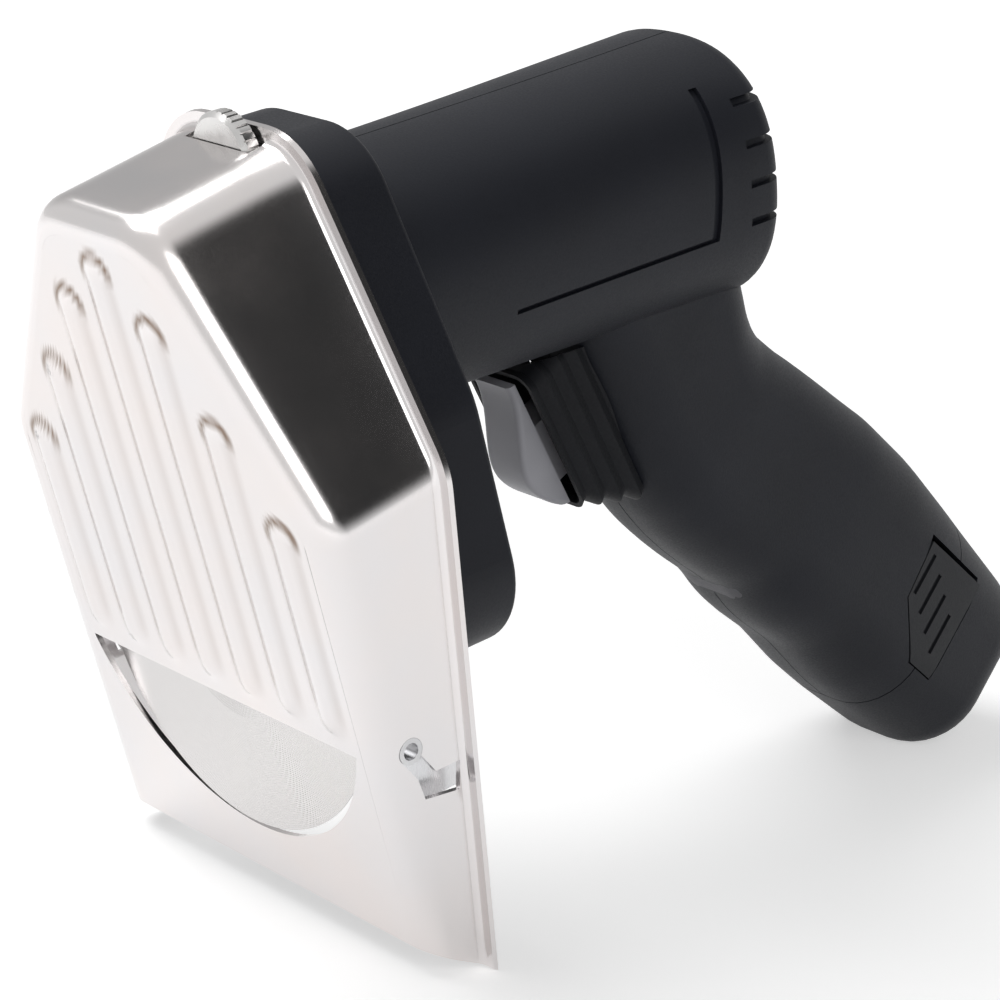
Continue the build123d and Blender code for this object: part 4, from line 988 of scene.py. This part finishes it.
finishes = [
    (bracket_steel, ["guard_bracket"]),
    (blade_steel, ["blade"]),
    (wheel_steel, ["thumb_wheel"]),
    (
        bright_steel,
        [
            "blade_shaft",
            "blade_nut",
            "blade_washer",
            "cover_screws",
            "bracket_screws",
            "motor_screws",
            "pivot_pins",
            "idler_shaft",
            "motor_shaft",
            "front_bearing_outer",
            "front_bearing_inner",
            "rear_bearing_outer",
            "rear_bearing_inner",
            "trigger_spring",
        ],
    ),
    (black_steel, ["housing_screws"]),
    (gear_steel, ["output_gear", "idler_gear", "motor_pinion"]),
    (motor_steel, ["motor_can", "motor_armature"]),
    (brass, ["motor_bushings", "motor_terminals", "battery_contacts"]),
    (copper, ["motor_windings", "motor_commutator"]),
    (ferrite, ["motor_magnets"]),
    (case_plastic, ["gear_case", "gear_cover"]),
    (button_plastic, ["release_button_left", "release_button_right"]),
    (trigger_plastic, ["trigger"]),
    (inner_plastic, ["terminal_block", "switch_body", "battery_sleeve"]),
    (motor_plastic, ["motor_end_bell"]),
    (cell_film, ["battery_cells"]),
    (boot_rubber, ["trigger_boot"]),
    (seal_rubber, ["shaft_seal"]),
    (carbon, ["motor_brushes"]),
]
for material, names in finishes:
    for name in names:
        for holder in nodes[name].material_slots:
            holder.material = material

for piece, material in (
    (guard_piece, guard_steel),
    (housing_piece, housing_plastic),
    (cap_piece, battery_plastic),
    (stud_piece, bright_steel),
):
    piece.data.materials.clear()
    piece.data.materials.append(material)

# Floor: pale, and lifted towards white for the camera and in reflections, more so far from the
# tool, so that the tool's shadow stays
floor_mesh = bpy.data.meshes.new("studio_floor")
corners = [(x * floor_half, y * floor_half, -floor_drop) for x, y in square_corners]
floor_mesh.from_pydata(corners, [], [(0, 1, 2, 3)])
floor = bpy.data.objects.new("studio_floor", floor_mesh)
bpy.context.scene.collection.objects.link(floor)
floor_material = new_material("studio_floor", (floor_grey,) * 3, floor_roughness)
tree_nodes, links, shader = part_of(floor_material)
rays = tree_nodes.new("ShaderNodeLightPath")
seen = tree_nodes.new("ShaderNodeMath")
seen.operation = "MAXIMUM"
links.new(rays.outputs["Is Camera Ray"], seen.inputs[0])
links.new(rays.outputs["Is Glossy Ray"], seen.inputs[1])
floor_place = tree_nodes.new("ShaderNodeTexCoord")
away = tree_nodes.new("ShaderNodeVectorMath")
away.operation = "LENGTH"
links.new(floor_place.outputs["Object"], away.inputs[0])
raised = add_range(floor_material, away.outputs["Value"], floor_lift, far_lift, near_floor, far_floor)
lift = tree_nodes.new("ShaderNodeMath")
lift.operation = "MULTIPLY"
links.new(seen.outputs["Value"], lift.inputs[0])
links.new(raised, lift.inputs[1])
links.new(lift.outputs["Value"], shader.inputs["Emission Strength"])
shader.inputs["Emission Color"].default_value = (1.0, 1.0, 1.0, 1.0)
floor_mesh.materials.append(floor_material)

# World: white for the camera, white with two dim sides in reflections, and soft as light
world = bpy.data.worlds.new("studio")
world.use_nodes = True
bpy.context.scene.world = world
sky = world.node_tree.nodes
sky_links = world.node_tree.links
white = (1.0, 1.0, 1.0, 1.0)
direction = sky.new("ShaderNodeTexCoord")


def dimmed_towards(side, strength, narrow, wide):
    """The world's strength in reflections, dim round one side; returns the value socket."""
    towards = sky.new("ShaderNodeVectorMath")
    towards.operation = "DOT_PRODUCT"
    towards.inputs[1].default_value = side.normalized()
    sky_links.new(direction.outputs["Generated"], towards.inputs[0])
    fade = sky.new("ShaderNodeMapRange")
    fade.interpolation_type = "SMOOTHSTEP"
    fade.inputs["From Min"].default_value = cos(radians(wide))
    fade.inputs["From Max"].default_value = cos(radians(narrow))
    fade.inputs["To Min"].default_value = 1.0
    fade.inputs["To Max"].default_value = strength
    sky_links.new(towards.outputs["Value"], fade.inputs["Value"])
    return fade.outputs["Result"]


both = sky.new("ShaderNodeMath")
both.operation = "MULTIPLY"
sky_links.new(dimmed_towards(dark_side, dark_strength, dark_narrow, dark_wide), both.inputs[0])
sky_links.new(dimmed_towards(grey_side, grey_strength, grey_narrow, grey_wide), both.inputs[1])
reflected = sky.new("ShaderNodeBackground")
sky_links.new(both.outputs["Value"], reflected.inputs["Strength"])
lighting = sky["Background"]
lighting.inputs["Color"].default_value = white
lighting.inputs["Strength"].default_value = sky_strength
seen_sky = sky.new("ShaderNodeBackground")
seen_sky.inputs["Color"].default_value = white
sky_rays = sky.new("ShaderNodeLightPath")
choice = sky.new("ShaderNodeMixShader")
sky_links.new(sky_rays.outputs["Is Glossy Ray"], choice.inputs["Fac"])
sky_links.new(lighting.outputs["Background"], choice.inputs[1])
sky_links.new(reflected.outputs["Background"], choice.inputs[2])
final = sky.new("ShaderNodeMixShader")
sky_links.new(sky_rays.outputs["Is Camera Ray"], final.inputs["Fac"])
sky_links.new(choice.outputs["Shader"], final.inputs[1])
sky_links.new(seen_sky.outputs["Background"], final.inputs[2])
sky_links.new(final.outputs["Shader"], sky["World Output"].inputs["Surface"])


def area_light(name, place, aim, size, power):
    """A square soft box that faces a point."""
    data = bpy.data.lights.new(name, "AREA")
    data.shape = "SQUARE"
    data.size = size
    data.energy = power
    lamp = bpy.data.objects.new(name, data)
    bpy.context.scene.collection.objects.link(lamp)
    lamp.location = place
    lamp.rotation_euler = (Vector(aim) - Vector(place)).to_track_quat("-Z", "Y").to_euler()


area_light("key_soft_box", key_place, light_aim, key_size, key_power)
area_light("fill_soft_box", fill_place, light_aim, fill_size, fill_power)

# Camera at the photograph's angle
azimuth, elevation, roll = (radians(value) for value in (camera_azimuth, camera_elevation, camera_roll))
back = Vector((sin(azimuth) * cos(elevation), -cos(azimuth) * cos(elevation), sin(elevation)))
level = Vector((cos(azimuth), sin(azimuth), 0.0))
upright = back.cross(level)
right = level * cos(roll) + upright * sin(roll)
up = upright * cos(roll) - level * sin(roll)
lens = bpy.data.cameras.new("camera")
lens.sensor_width = 36.0
lens.lens = camera_lens
lens.clip_start = 0.01
lens.clip_end = 50.0
camera = bpy.data.objects.new("camera", lens)
bpy.context.scene.collection.objects.link(camera)
axes = Matrix((right, up, back)).transposed().to_4x4()
camera.matrix_world = Matrix.Translation(camera_aim + back * camera_distance) @ axes
bpy.context.scene.camera = camera
bpy.context.scene.view_settings.view_transform = "Standard"
